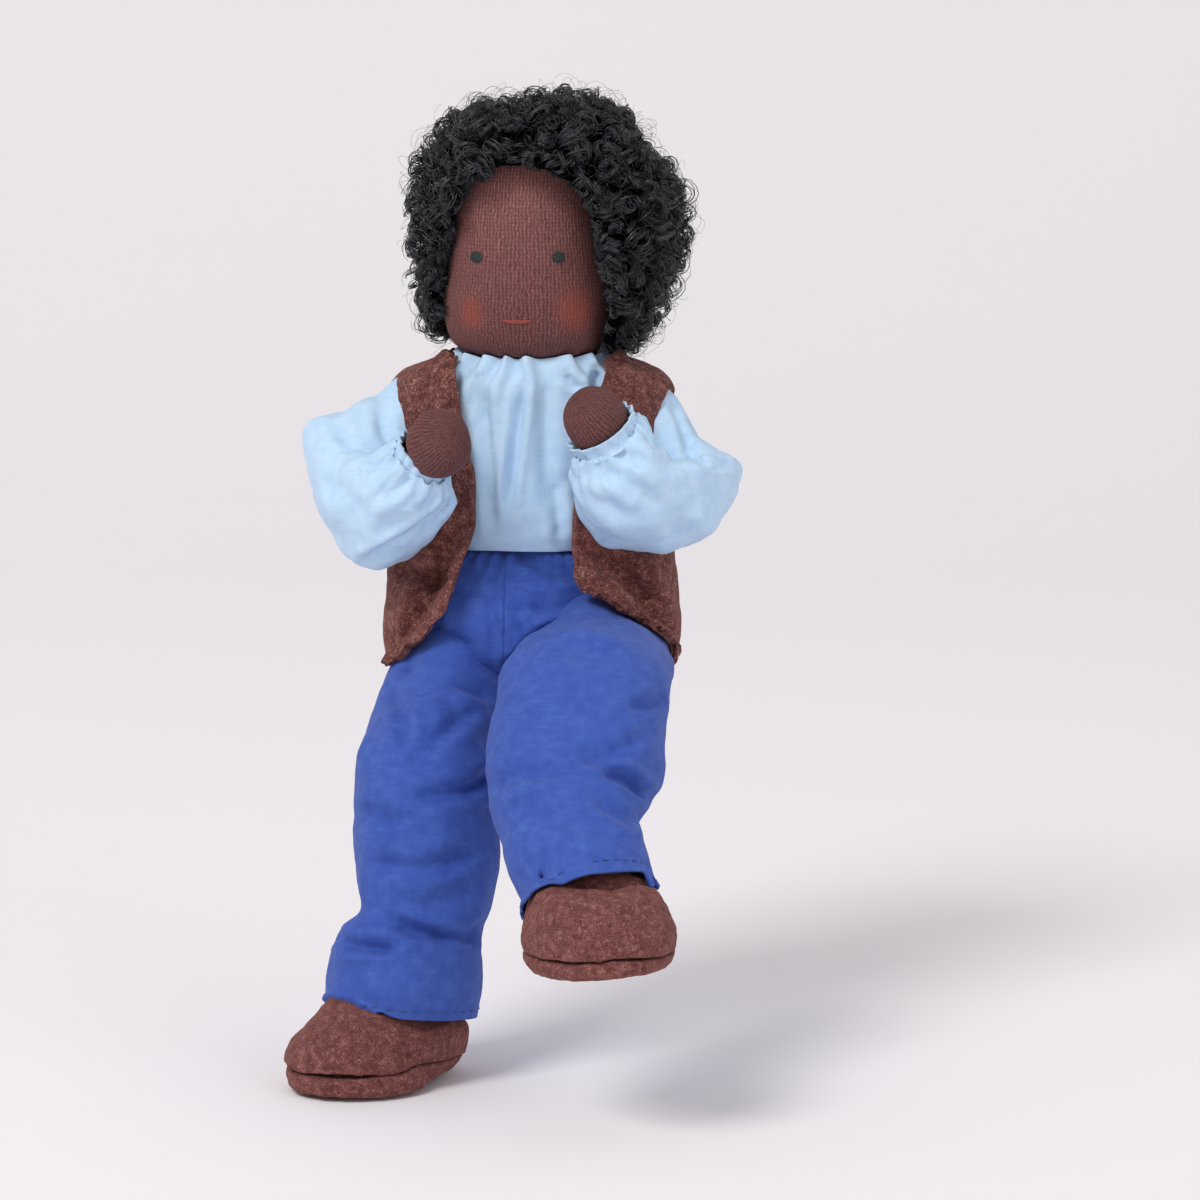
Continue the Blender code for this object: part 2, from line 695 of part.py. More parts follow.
def front_opening():
    """Outline of the vest's open front, narrowest at the waist, as a slab that runs out to the front."""
    outline = (
        (-VEST_OPENING_TOP, VEST_TOP + OVERRUN),
        (-VEST_OPENING_WAIST, WAIST_HEIGHT),
        (-VEST_OPENING_LAP, VEST_FLARE_HEIGHT),
        (-VEST_OPENING_HEM, VEST_HEM - GAP),
        (VEST_OPENING_HEM, VEST_HEM - GAP),
        (VEST_OPENING_LAP, VEST_FLARE_HEIGHT),
        (VEST_OPENING_WAIST, WAIST_HEIGHT),
        (VEST_OPENING_TOP, VEST_TOP + OVERRUN),
    )
    bm = bmesh.new()
    front = [bm.verts.new((x, -VEST_HALF_DEPTH - OVERRUN, z)) for x, z in outline]
    face = bm.faces.new(front)
    pushed = bmesh.ops.extrude_face_region(bm, geom=[face])
    moved = [item for item in pushed["geom"] if isinstance(item, bmesh.types.BMVert)]
    bmesh.ops.translate(bm, verts=moved, vec=(0, VEST_HALF_DEPTH + OVERRUN, 0))
    return bm


def make_arm(side):
    """Wound wire, full gathered sleeve, cuff thread and hand of one arm."""
    upper = frames[f"{side}_upper_arm"]
    fore = frames[f"{side}_forearm"]
    wrist = frames[f"{side}_hand"]
    bend_ball(f"{side}_shoulder_bend", frames[f"{side}_shoulder"], SHOULDER_BALL)
    make_winding(
        f"{side}_upper_arm", upper, UPPER_ARM_LENGTH, SHOULDER_BALL, ELBOW_BALL, ARM_WINDING, False
    )
    make_winding(f"{side}_forearm", fore, FOREARM_LENGTH, ELBOW_BALL, WRIST_BALL, ARM_WINDING, True)

    upper_place = (0, 0, -UPPER_ARM_LENGTH * UPPER_PUFF_SHARE)
    lower_place = (0, 0, -FOREARM_LENGTH * LOWER_PUFF_SHARE)
    upper_half = (SLEEVE_HALF_WIDTH, SLEEVE_HALF_WIDTH, UPPER_PUFF_HALF_LENGTH)
    lower_width = SLEEVE_HALF_WIDTH - SEAM_STEP
    lower_half = (lower_width, lower_width, LOWER_PUFF_HALF_LENGTH)
    sleeve = add_mesh(f"{side}_sleeve", rounded_form(upper_half, upper_place), upper, SHIRT_COTTON)
    boolean(sleeve, add_mesh(
        f"{side}_lower_puff_cutter", rounded_form(lower_half, lower_place), fore, None
    ), "UNION")
    boolean(sleeve, add_mesh(
        f"{side}_upper_hollow_cutter",
        rounded_form(tuple(size - CLOTH for size in upper_half), upper_place),
        upper,
        None,
    ))
    boolean(sleeve, add_mesh(
        f"{side}_lower_hollow_cutter",
        rounded_form(tuple(size - CLOTH for size in lower_half), lower_place),
        fore,
        None,
    ))
    boolean(sleeve, add_mesh(
        f"{side}_vest_envelope_cutter",
        vest_form(GAP),
        frames["pelvis"],
        None,
    ))
    ring_radius = TIP_RADIUS + WINDING_FLARE * CUFF_SETBACK + GAP + CUFF_THREAD
    cuff_height = -FOREARM_LENGTH + CUFF_SETBACK
    cuff_edge = ring_radius + CUFF_THREAD + GAP
    boolean(sleeve, add_mesh(
        f"{side}_cuff_cutter",
        rod(cuff_edge, -FOREARM_LENGTH * 2, -FOREARM_LENGTH / 2, ROUND),
        fore,
        None,
    ))
    thread = thread_ring(ring_radius, cuff_height, CUFF_THREAD)
    add_mesh(f"{side}_cuff_thread", thread, fore, SHIRT_THREAD)

    profile = [(0, WRIST_BALL)]
    half = HAND_LENGTH / 2
    for step in range(1, HAND_STEPS):
        angle = math.pi * step / HAND_STEPS
        height = WRIST_BALL / 2 - half + (half + WRIST_BALL / 2) * math.cos(angle)
        knob = math.sqrt(max(0, WRIST_BALL ** 2 - height ** 2))
        palm = HAND_RADIUS * math.sqrt(max(0, 1 - (height / half + 1) ** 2))
        profile.append((max(knob, palm), height))
    profile.append((0, -HAND_LENGTH))
    add_mesh(f"{side}_hand", turned_form(profile, HAND_SIDES), wrist, BROWN_JERSEY)


def make_leg(side):
    """Wound wire of one leg, and its shoe with the stuffed foot inside."""
    foot = frames[f"{side}_foot"]
    bend_ball(f"{side}_hip_bend", frames[f"{side}_hip"], HIP_BALL)
    thigh = frames[f"{side}_thigh"]
    shin = frames[f"{side}_shin"]
    make_winding(f"{side}_thigh", thigh, THIGH_LENGTH, HIP_BALL, KNEE_BALL, LEG_WINDING, False)
    make_winding(f"{side}_shin", shin, SHIN_LENGTH, KNEE_BALL, ANKLE_BALL, LEG_WINDING, True)

    upper = add_mesh(f"{side}_shoe_upper", shoe_dome(0), foot, BROWN_FELT)
    boolean(upper, add_mesh(f"{side}_shoe_hollow_cutter", shoe_whole(FELT), foot, None))
    mouth = add_mesh(
        f"{side}_shoe_mouth_cutter", rod(SHOE_MOUTH, -ANKLE_HEIGHT / 2, SHOE_HEIGHT * 2, ROUND), foot, None
    )
    boolean(upper, mouth)

    half_width = SHOE_HALF_WIDTH + SOLE_EDGE
    half_length = SHOE_HALF_LENGTH + SOLE_EDGE
    sole = bmesh.new()
    bmesh.ops.create_cone(
        sole, cap_ends=True, segments=FINER_SIDES, radius1=1, radius2=1, depth=SOLE_THICKNESS,
        matrix=Matrix.Translation((0, 0, SOLE_THICKNESS / 2)),
    )
    bmesh.ops.scale(sole, verts=sole.verts, vec=(half_width, half_length, 1))
    rims = [edge for edge in sole.edges if abs(edge.verts[0].co.z - edge.verts[1].co.z) < GAP / 10]
    bmesh.ops.bevel(sole, geom=rims, offset=SOLE_THICKNESS / 4, segments=2, affect="EDGES", profile=0.5)
    bmesh.ops.translate(sole, verts=sole.verts, vec=(0, -TOE_LEAD, -ANKLE_HEIGHT))
    add_mesh(f"{side}_shoe_sole", sole, foot, BROWN_FELT)

    stuffing = add_mesh(f"{side}_foot_stuffing", shoe_dome(FELT + GAP), foot, STUFFING)
    well = rod(SHOE_MOUTH, -ANKLE_BALL - GAP, SHOE_HEIGHT * 2, ROUND)
    boolean(stuffing, add_mesh(f"{side}_ankle_well_cutter", well, foot, None))
    profile = [(0, ANKLE_BALL)]
    for step in range(1, 4):
        angle = math.pi * step / 4
        profile.append((ANKLE_BALL * math.sin(angle), ANKLE_BALL * math.cos(angle)))
    profile.append((TIP_RADIUS, -ANKLE_BALL * 2))
    profile.append((0, -ANKLE_BALL * 2))
    post = turned_form(profile, BALL_SIDES)
    boolean(stuffing, add_mesh(f"{side}_ankle_post_cutter", post, foot, None), "UNION")


def head_profile(inset):
    """Half outline of the pear-shaped head, (radius, height) from the neck up to the crown."""
    return [
        (
            max(0.0, HEAD_HALF_WIDTH * radius - inset * min(1, radius * INSET_RAMP)),
            HEAD_LIFT + inset + (HEAD_HEIGHT - inset * 2) * height,
        )
        for radius, height in HEAD_PROFILE_SHARES
    ]


def head_radius(height):
    """Radius of the head skin at a height above the neck joint."""
    outline = head_profile(0)
    for (low_radius, low), (high_radius, high) in zip(outline, outline[1:]):
        if low <= height <= high:
            return low_radius + (high_radius - low_radius) * (height - low) / (high - low)
    return 0


def head_form(inset):
    """Closed form of the head, set in from the skin's outside."""
    form = turned_form(head_profile(inset), FINE_SIDES)
    bmesh.ops.scale(form, verts=form.verts, vec=(1, HEAD_DEPTH_SHARE, 1))
    return form


def mouth_form():
    """Loft of thread sections that follow the face across and thin towards the corners of the mouth."""
    bm = bmesh.new()
    path_radius = head_radius(MOUTH_HEIGHT) + GAP + MOUTH_RADIUS
    sections = []
    for step in range(MOUTH_STEPS + 1):
        spread = step / MOUTH_STEPS * 2 - 1
        across = MOUTH_WIDTH / 2 * spread
        depth = -math.sqrt(path_radius ** 2 - across ** 2) * HEAD_DEPTH_SHARE
        thickness = MOUTH_RADIUS * (1 - MOUTH_TAPER_SHARE * abs(spread) ** 3)
        section = []
        for corner in range(THREAD_SIDES):
            angle = math.tau * corner / THREAD_SIDES
            place = (across, depth + thickness * math.cos(angle), MOUTH_HEIGHT + thickness * math.sin(angle))
            section.append(bm.verts.new(place))
        sections.append(section)
    for first, second in zip(sections, sections[1:]):
        for corner in range(THREAD_SIDES):
            after = (corner + 1) % THREAD_SIDES
            bm.faces.new((first[corner], first[after], second[after], second[corner]))
    bm.faces.new(sections[0])
    bm.faces.new(sections[-1])
    return bm


def make_head():
    """Knitted skin over its stuffing, with dot eyes, a mouth stitch and the wig."""
    head = frames["head"]
    skin = add_mesh("head_skin", head_form(0), head, BROWN_JERSEY)
    core = add_mesh("head_stuffing", head_form(JERSEY + GAP), head, STUFFING)
    boolean(skin, add_mesh("head_hollow_cutter", head_form(JERSEY), head, None))
    neck_hole = rod(NECK_BALL + GAP * 2, -NECK_BALL * 2, NECK_BALL * 2, BALL_SIDES)
    boolean(skin, add_mesh("head_neck_cutter", neck_hole, head, None))
    boolean(core, add_mesh("head_socket_cutter", ball(NECK_BALL + GAP), head, None))

    for side, sign in SIDES.items():
        radius = head_radius(EYE_HEIGHT)
        around = math.asin(EYE_SPACING / 2 / radius)
        outward = Vector((sign * math.sin(around), -math.cos(around) * HEAD_DEPTH_SHARE, 0))
        place = outward * radius + outward.normalized() * (GAP + EYE_RADIUS / 2)
        half_sizes = (EYE_RADIUS, EYE_RADIUS / 2, EYE_RADIUS)
        eye = rounded_form(half_sizes, (0, 0, 0), segments=BALL_SIDES, rings=THREAD_SIDES)
        bmesh.ops.rotate(
            eye, verts=eye.verts, cent=(0, 0, 0), matrix=Matrix.Rotation(sign * around, 3, "Z")
        )
        bmesh.ops.translate(eye, verts=eye.verts, vec=(place.x, place.y, EYE_HEIGHT))
        add_mesh(f"{side}_eye", eye, head, EYE_THREAD)

    add_mesh("mouth_stitch", mouth_form(), head, MOUTH_THREAD)

    middle = Vector((HAIR_SHIFT, HAIR_BACK, HAIR_MIDDLE))
    wig = rounded_form(
        (HAIR_HALF_WIDTH, HAIR_HALF_DEPTH, HAIR_HALF_HEIGHT),
        middle,
        side_power=HAIR_SIDE_POWER,
        segments=FINER_SIDES,
        rings=FINER_RINGS,
    )
    for vert in wig.verts:
        outward = (vert.co - middle).normalized()
        around = math.atan2(outward.x, outward.y)
        turn = math.sin(around * HAIR_WAVES_AROUND + outward.z * HAIR_WAVE_TWIST)
        wave = turn * math.cos(outward.z * HAIR_WAVES_UP)
        vert.co += outward * HAIR_LUMP * wave * (1 - outward.z ** 2)
    hair = add_mesh("hair", wig, head, BLACK_MOHAIR)
    boolean(hair, add_mesh("hair_hollow_cutter", head_form(-GAP), head, None))
    window = rod(1, -1, 0, FINE_SIDES)
    size = (FACE_HALF_WIDTH, HAIR_HALF_DEPTH * 2, FACE_TOP / 2)
    placed = Matrix.Translation((0, -HAIR_BACK, FACE_TOP / 2)) @ Matrix.Diagonal((*size, 1))
    bmesh.ops.transform(
        window, verts=window.verts, matrix=placed @ Matrix.Rotation(-math.pi / 2, 4, "X")
    )
    boolean(hair, add_mesh("face_window_cutter", window, head, None))
    nape = rod(COLLAR_RADIUS + FELT, -HEAD_HEIGHT, HEAD_LIFT + HEAD_HEIGHT * NAPE_SHARE, ROUND)
    boolean(hair, add_mesh("hair_neck_cutter", nape, head, None))


def make_frames():
    """Empties on the joints, with the limbs turned as the doll sits."""
    made = {"pelvis": bpy.data.objects.new("pelvis_frame", None)}
    parts.objects.link(made["pelvis"])
    across = Vector((1, 0, 0))
    down = Vector((0, 0, -1))
    made["waist"] = limb_frame("waist_frame", Vector((0, 0, WAIST_HEIGHT)), down, across)
    neck = Vector((0, 0, NECK_HEIGHT))
    made["neck"] = limb_frame("neck_frame", neck, down, across)
    turned = Matrix.Rotation(math.radians(-HEAD_TURN), 3, "Z")
    made["head"] = limb_frame("head_frame", neck, down, turned @ across)
    for side, sign in SIDES.items():
        hip = Vector((sign * HIP_SPREAD, -HIP_DEPTH, HIP_HEIGHT))
        thigh = direction(*THIGH_POSE[side], sign)
        shin = direction(*SHIN_POSE[side], sign)
        knee = hip + thigh * THIGH_LENGTH
        ankle = knee + shin * SHIN_LENGTH
        foot_across = Matrix.Rotation(math.radians(sign * FOOT_TURN[side]), 3, "Z") @ across
        made[f"{side}_hip"] = limb_frame(f"{side}_hip_frame", hip, down, across)
        made[f"{side}_thigh"] = limb_frame(f"{side}_thigh_frame", hip, thigh, across)
        made[f"{side}_shin"] = limb_frame(f"{side}_shin_frame", knee, shin, across)
        made[f"{side}_foot"] = limb_frame(f"{side}_foot_frame", ankle, down, foot_across)
        shoulder = Vector((sign * SHOULDER_SPREAD, 0, SHOULDER_HEIGHT))
        upper_arm = direction(*UPPER_ARM_POSE[side], sign)
        forearm = direction(*FOREARM_POSE[side], sign)
        elbow = shoulder + upper_arm * UPPER_ARM_LENGTH
        wrist = elbow + forearm * FOREARM_LENGTH
        made[f"{side}_shoulder"] = limb_frame(f"{side}_shoulder_frame", shoulder, down, across)
        made[f"{side}_upper_arm"] = limb_frame(f"{side}_upper_arm_frame", shoulder, upper_arm, across)
        made[f"{side}_forearm"] = limb_frame(f"{side}_forearm_frame", elbow, forearm, across)
        made[f"{side}_hand"] = limb_frame(f"{side}_hand_frame", wrist, forearm, across)
    return made


clear_scene()
parts = make_collection(COLLECTION_NAME)
cutters = make_collection("cutters")

BROWN_JERSEY = material("brown_jersey", (0.155, 0.056, 0.049), 0.85)
BLACK_MOHAIR = material("black_mohair", (0.008, 0.008, 0.010), 0.6)
SHIRT_COTTON = material("pale_blue_cotton", (0.50, 0.71, 0.90), 0.8)
SHIRT_THREAD = material("pale_blue_thread", (0.42, 0.62, 0.82), 0.7)
BLUE_COTTON = material("blue_cotton", (0.043, 0.100, 0.430), 0.85)
BROWN_FELT = material("brown_felt", (0.130, 0.050, 0.036), 0.95)
EYE_THREAD = material("grey_green_thread", (0.035, 0.045, 0.035), 0.6)
MOUTH_THREAD = material("red_thread", (0.350, 0.065, 0.055), 0.7)
COTTON_THREAD = material("cotton_winding", (0.62, 0.57, 0.47), 0.9)
STUFFING = material("polyester_stuffing", (0.80, 0.79, 0.75), 0.95)
WIRE_STEEL = material("annealed_wire", (0.45, 0.45, 0.46), 0.4, 1.0)

frames = make_frames()
make_trunk()
make_trousers()
make_shirt_and_vest()
for side_name in SIDES:
    make_arm(side_name)
    make_leg(side_name)
make_head()
bpy.context.view_layer.update()
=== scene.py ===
# %% [markdown]
# # A seated bendy doll
# The doll is a small cloth figure on a wire frame: a knitted head and hands, a curly wig, a gathered
# cotton shirt, a felt vest, cotton trousers and felt shoes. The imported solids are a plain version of
# it. Here each visible piece is made again with its real cloth, folds and stitches, in the same place.
# The tables give lengths in millimetres, and one value turns them to metres.

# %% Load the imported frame
import json
import math
import random

import bpy
import numpy as np
from mathutils import Matrix, Vector, noise
from mathutils.bvhtree import BVHTree


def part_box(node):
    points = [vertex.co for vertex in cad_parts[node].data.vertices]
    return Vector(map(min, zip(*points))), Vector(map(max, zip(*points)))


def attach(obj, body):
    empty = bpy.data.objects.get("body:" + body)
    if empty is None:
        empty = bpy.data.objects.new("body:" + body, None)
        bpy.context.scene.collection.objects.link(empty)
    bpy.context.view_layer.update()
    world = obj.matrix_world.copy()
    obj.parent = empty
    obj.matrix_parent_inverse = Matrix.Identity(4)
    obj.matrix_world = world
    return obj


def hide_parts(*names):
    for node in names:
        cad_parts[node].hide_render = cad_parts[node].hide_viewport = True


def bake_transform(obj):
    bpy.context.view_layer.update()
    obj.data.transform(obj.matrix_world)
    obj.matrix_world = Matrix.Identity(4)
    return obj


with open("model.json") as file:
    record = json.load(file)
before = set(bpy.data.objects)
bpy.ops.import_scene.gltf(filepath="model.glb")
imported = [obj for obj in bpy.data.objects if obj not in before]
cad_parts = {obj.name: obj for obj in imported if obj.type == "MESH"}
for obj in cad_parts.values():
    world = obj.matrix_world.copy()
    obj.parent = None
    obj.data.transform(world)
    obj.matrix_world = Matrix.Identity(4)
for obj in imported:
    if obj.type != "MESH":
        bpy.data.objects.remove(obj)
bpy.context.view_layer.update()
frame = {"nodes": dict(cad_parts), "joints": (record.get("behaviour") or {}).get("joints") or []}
nodes = frame["nodes"]
MM = 0.001

# %% [markdown]
# ## Camera
# The picture is taken from far off with a long lens, a little above the doll. The view tips down by
# 8 degrees, and the doll's knees and shoes point towards the camera.

# %% Camera
VIEW_TILT = 8.0
CAMERA_PLACE = np.array((10.0, -705.9, 109.6))
LENS = 150.0
SENSOR = 36.0
PICTURE = 1200
ACROSS = np.array((1.0, 0.0, 0.0))
AWAY = np.array((0, math.cos(math.radians(VIEW_TILT)), -math.sin(math.radians(VIEW_TILT))))
UP = np.array((0, math.sin(math.radians(VIEW_TILT)), math.cos(math.radians(VIEW_TILT))))

bpy.ops.object.camera_add(location=CAMERA_PLACE * MM, rotation=(math.radians(90 - VIEW_TILT), 0, 0))
camera = bpy.context.object
camera.data.lens = LENS
camera.data.sensor_width = SENSOR
camera.data.clip_end = 20
bpy.context.scene.camera = camera
bpy.context.scene.view_settings.view_transform = "Standard"


def picture_scale(places):
    """Pixels per mm at places in mm."""
    return PICTURE * LENS / SENSOR / ((places - CAMERA_PLACE) @ AWAY)


def in_picture(places):
    """Where places in mm fall in the picture, in pixels from its top left corner."""
    offset = places - CAMERA_PLACE
    scale = picture_scale(places)
    return np.stack((PICTURE / 2 + offset[:, 0] * scale, PICTURE / 2 - (offset @ UP) * scale), axis=1)


print("seat in the picture:", in_picture(np.array([[0.0, 0.0, 0.0]])).round(1).tolist())

# %% [markdown]
# ## Floor and light
# A pale sweep of paper runs under the doll and up behind it. One large lamp stands at the upper left
# in front, a weaker one at the right, and a soft sky fills the shadows.

# %% Paper sweep
FLOOR_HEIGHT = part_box("right_shoe_sole")[0][2] - 0.0001
SWEEP_WIDTH = 6.0
SWEEP_START = -1.5
SWEEP_BEND = 0.5
SWEEP_RADIUS = 0.6
SWEEP_TOP = 2.5

bpy.ops.object.select_all(action="DESELECT")
bpy.ops.mesh.primitive_grid_add(x_subdivisions=2, y_subdivisions=60, size=1)
sweep = bpy.context.object
sweep.name = "paper_sweep"
flat_run = SWEEP_BEND - SWEEP_START
curved_run = SWEEP_RADIUS * math.pi / 2
for vert in sweep.data.vertices:
    along = (vert.co.y + 0.5) * (flat_run + curved_run + SWEEP_TOP)
    angle = min(max(along - flat_run, 0) / SWEEP_RADIUS, math.pi / 2)
    rise = max(along - flat_run - curved_run, 0)
    depth = SWEEP_START + min(along, flat_run) + SWEEP_RADIUS * math.sin(angle)
    vert.co = (vert.co.x * SWEEP_WIDTH, depth, FLOOR_HEIGHT + SWEEP_RADIUS * (1 - math.cos(angle)) + rise)
bpy.ops.object.shade_smooth()
print("floor at", round(FLOOR_HEIGHT / MM, 1), "mm")


# %% Lamps and sky
def add_lamp(name, place, size, power, warmth):
    """A square lamp that faces the doll."""
    toward = (Vector((0, -0.02, 0.01)) - Vector(place)).to_track_quat("-Z", "Y").to_euler()
    bpy.ops.object.light_add(type="AREA", location=place, rotation=toward)
    lamp = bpy.context.object
    lamp.name = name
    lamp.data.size = size
    lamp.data.energy = power
    lamp.data.color = warmth


add_lamp("key_lamp", (-0.75, -0.95, 1.25), 0.6, 15.0, (1.0, 0.985, 0.97))
add_lamp("fill_lamp", (1.2, -1.1, 0.7), 1.2, 5.0, (0.97, 0.98, 1.0))
sky = bpy.data.worlds.new("studio_sky")
sky.use_nodes = True
sky.node_tree.nodes["Background"].inputs["Color"].default_value = (0.96, 0.95, 0.985, 1.0)
sky.node_tree.nodes["Background"].inputs["Strength"].default_value = 0.55
bpy.context.scene.world = sky


# %% [markdown]
# ## Node helpers
# Every material is a small tree of nodes. One helper adds a node, sets it and links what feeds it.

# %% Node helpers
MATH = "ShaderNodeMath"
VECTOR = "ShaderNodeVectorMath"
NOISE = "ShaderNodeTexNoise"
RAMP = "ShaderNodeValToRGB"
MAP_RANGE = "ShaderNodeMapRange"


def colour(text):
    """An sRGB hex colour as the linear values that a shader reads."""
    channels = [int(text[i:i + 2], 16) / 255 for i in (0, 2, 4)]
    return tuple([c / 12.92 if c <= 0.04045 else ((c + 0.055) / 1.055) ** 2.4 for c in channels] + [1.0])


def feed(tree, node, inputs):
    """Links or sets the inputs of a node."""
    for key, value in inputs.items():
        if isinstance(value, bpy.types.NodeSocket):
            tree.links.new(value, node.inputs[key])
        else:
            node.inputs[key].default_value = value


def add_node(tree, kind, inputs=None, stops=(), **settings):
    """Adds a node, sets it up and feeds it. The stops of a ramp are pairs of (place, hex)."""
    added = tree.nodes.new(kind)
    for key, value in settings.items():
        setattr(added, key, value)
    feed(tree, added, inputs or {})
    if stops:
        ramp = added.color_ramp.elements
        while len(ramp) < len(stops):
            ramp.new(0.5)
        for element, (place, text) in zip(ramp, stops):
            element.position = place
            element.color = colour(text)
    return added


def new_material(name):
    made = bpy.data.materials.new(name)
    made.use_nodes = True
    return made, made.node_tree, made.node_tree.nodes["Principled BSDF"]


paper, tree, shader = new_material("matt_paper_sweep")
feed(tree, shader, {"Base Color": colour("F6F3F4"), "Roughness": 0.9})
sweep.data.materials.append(paper)
print("paper:", paper.name, [round(value, 3) for value in colour("F6F3F4")])


# %% [markdown]
# ## Woven cotton
# The shirt is thin plain-weave cotton and the trousers a heavier one. Real threads lie 0.15 to 0.25 mm
# apart, too fine for this picture, so the weave is drawn at 0.34 mm. The threads are waves along X, Y
# and Z, and the surface's normal picks the two that lie in the cloth. Longer streaks are the uneven
# yarn, which gives the cloth its soft heather.

# %% Woven cotton
def woven_cotton(name, shades, thread, weave_depth, streak_strength, roughness, sheen):
    made, tree, shader = new_material(name)
    place = add_node(tree, "ShaderNodeTexCoord").outputs
    in_mm = add_node(tree, VECTOR, {0: place["Object"], "Scale": 1 / MM}, operation="SCALE").outputs[0]
    waver = add_node(tree, NOISE, {"Vector": in_mm, "Scale": 0.6, "Detail": 2.0}).outputs
    bend = {0: waver["Color"], 1: (0.5,) * 3, 2: in_mm}
    bent = add_node(tree, VECTOR, bend, operation="MULTIPLY_ADD").outputs[0]
    phase = add_node(tree, VECTOR, {0: bent, "Scale": math.tau / thread}, operation="SCALE").outputs[0]
    waves = add_node(tree, VECTOR, {0: phase}, operation="SINE").outputs[0]
    wave = add_node(tree, "ShaderNodeSeparateXYZ", {0: waves}).outputs
    normals = {0: place["Normal"], 1: place["Normal"]}
    normal = add_node(tree, VECTOR, normals, operation="MULTIPLY").outputs[0]
    pairs = [
        add_node(tree, MATH, {0: wave[a], 1: wave[b]}, operation="MULTIPLY").outputs[0]
        for a, b in ((1, 2), (0, 2), (0, 1))
    ]
    crossings = add_node(tree, "ShaderNodeCombineXYZ", dict(zip("XYZ", pairs))).outputs[0]
    weave = add_node(tree, VECTOR, {0: crossings, 1: normal}, operation="DOT_PRODUCT").outputs["Value"]
    streaks = []
    for stretch in ((4.0, 4.0, 0.35), (0.35, 0.35, 4.0)):
        drawn = add_node(tree, VECTOR, {0: in_mm, 1: stretch}, operation="MULTIPLY").outputs[0]
        streaks.append(add_node(tree, NOISE, {"Vector": drawn, "Scale": 1.0, "Detail": 3.0}).outputs["Fac"])
    both = add_node(tree, MATH, dict(enumerate(streaks)), operation="ADD").outputs[0]
    shade = 0.35 - streak_strength
    for part, share in ((both, streak_strength), (waver["Fac"], 0.3), (weave, 0.10)):
        shade = add_node(tree, MATH, {0: part, 1: share, 2: shade}, operation="MULTIPLY_ADD").outputs[0]
    tint = add_node(tree, RAMP, {"Fac": shade}, tuple(zip((0.15, 0.5, 0.85), shades))).outputs["Color"]
    bump = add_node(
        tree, "ShaderNodeBump", {"Height": shade, "Strength": weave_depth, "Distance": thread * MM}
    )
    feed(tree, shader, {
        "Base Color": tint, "Normal": bump.outputs["Normal"], "Roughness": roughness,
        "Sheen Weight": sheen, "Sheen Roughness": 0.5,
    })
    return made


trouser_cotton = woven_cotton(
    "woven_blue_cotton", ("20368A", "3555AC", "5C7FCB"), 0.34, 0.6, 0.18, 0.88, 0.06
)
shirt_cotton = woven_cotton(
    "woven_pale_blue_cotton", ("9AC5EB", "BEDBF4", "DBEBFA"), 0.34, 0.4, 0.24, 0.85, 0.05
)
print("nodes in a cotton:", len(shirt_cotton.node_tree.nodes))

# %% [markdown]
# ## Wool felt
# Felt has no weave: its fibres lie every way and lock together. The colour is a mix of darker and
# lighter brown fibres, a few of them pale, and the surface is a little hairy, which gives a sheen at
# grazing angles.

# %% Wool felt
def wool_felt(name, shades, fibre, speck):
    made, tree, shader = new_material(name)
    place = add_node(tree, "ShaderNodeTexCoord").outputs["Object"]
    in_mm = add_node(tree, VECTOR, {0: place, "Scale": 1 / MM}, operation="SCALE").outputs[0]
    tuft = {"Vector": in_mm, "Scale": 0.9, "Detail": 4.0, "Roughness": 0.65}
    tufts = add_node(tree, NOISE, tuft).outputs["Fac"]
    tangle = {"Vector": in_mm, "Scale": 1 / fibre, "Detail": 5.0, "Roughness": 0.7, "Distortion": 2.5}
    fibres = add_node(tree, NOISE, tangle).outputs["Fac"]
    height = add_node(tree, MATH, {0: tufts, 1: 0.4, 2: fibres}, operation="MULTIPLY_ADD").outputs[0]
    spread = {0: height, 1: speck, 2: 0.5 - 0.7 * speck}
    shade = add_node(tree, MATH, spread, operation="MULTIPLY_ADD").outputs[0]
    stops = tuple(zip((0.15, 0.48, 0.68, 0.9), shades))
    tint = add_node(tree, RAMP, {"Fac": shade}, stops).outputs["Color"]
    bump = add_node(tree, "ShaderNodeBump", {"Height": height, "Strength": 0.8, "Distance": fibre * MM})
    feed(tree, shader, {
        "Base Color": tint, "Normal": bump.outputs["Normal"], "Roughness": 0.95,
        "Sheen Weight": 0.35, "Sheen Roughness": 0.4, "Sheen Tint": colour("B07468"),
    })
    return made


vest_felt = wool_felt("brown_vest_felt", ("2F110D", "68332C", "955A51", "CBA196"), 0.40, 2.3)
shoe_felt = wool_felt("brown_shoe_felt", ("3F1815", "743D38", "965D57", "C79A92"), 0.34, 2.1)
print("felts:", vest_felt.name, shoe_felt.name)


# %% [markdown]
# ## Shaping helpers
# A cloth piece starts as a flat grid, like cloth from the roll, and is wrapped round the body by a
# function that says where each point of the cloth goes. Folds are then pressed in along lines, which
# are given as they show in the picture, so that they fall where the eye expects them.

# %% Shaping helpers
TURN_REACH = 0.07


def unit(vector):
    return vector / np.linalg.norm(vector)


def select_only(piece):
    bpy.ops.object.select_all(action="DESELECT")
    piece.select_set(True)
    bpy.context.view_layer.objects.active = piece


def start_piece(name):
    """Names the piece that was just added."""
    piece = bpy.context.object
    piece.name = name
    piece.data.name = name
    return piece


def copy_solid(name, solid):
    """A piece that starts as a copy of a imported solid, in the same place."""
    piece = bpy.data.objects.new(name, solid.data.copy())
    bpy.context.scene.collection.objects.link(piece)
    piece.data.materials.clear()
    piece.data.transform(solid.matrix_world)
    return piece


def places_of(piece):
    flat = np.empty(len(piece.data.vertices) * 3)
    piece.data.vertices.foreach_get("co", flat)
    return flat.reshape(-1, 3) / MM


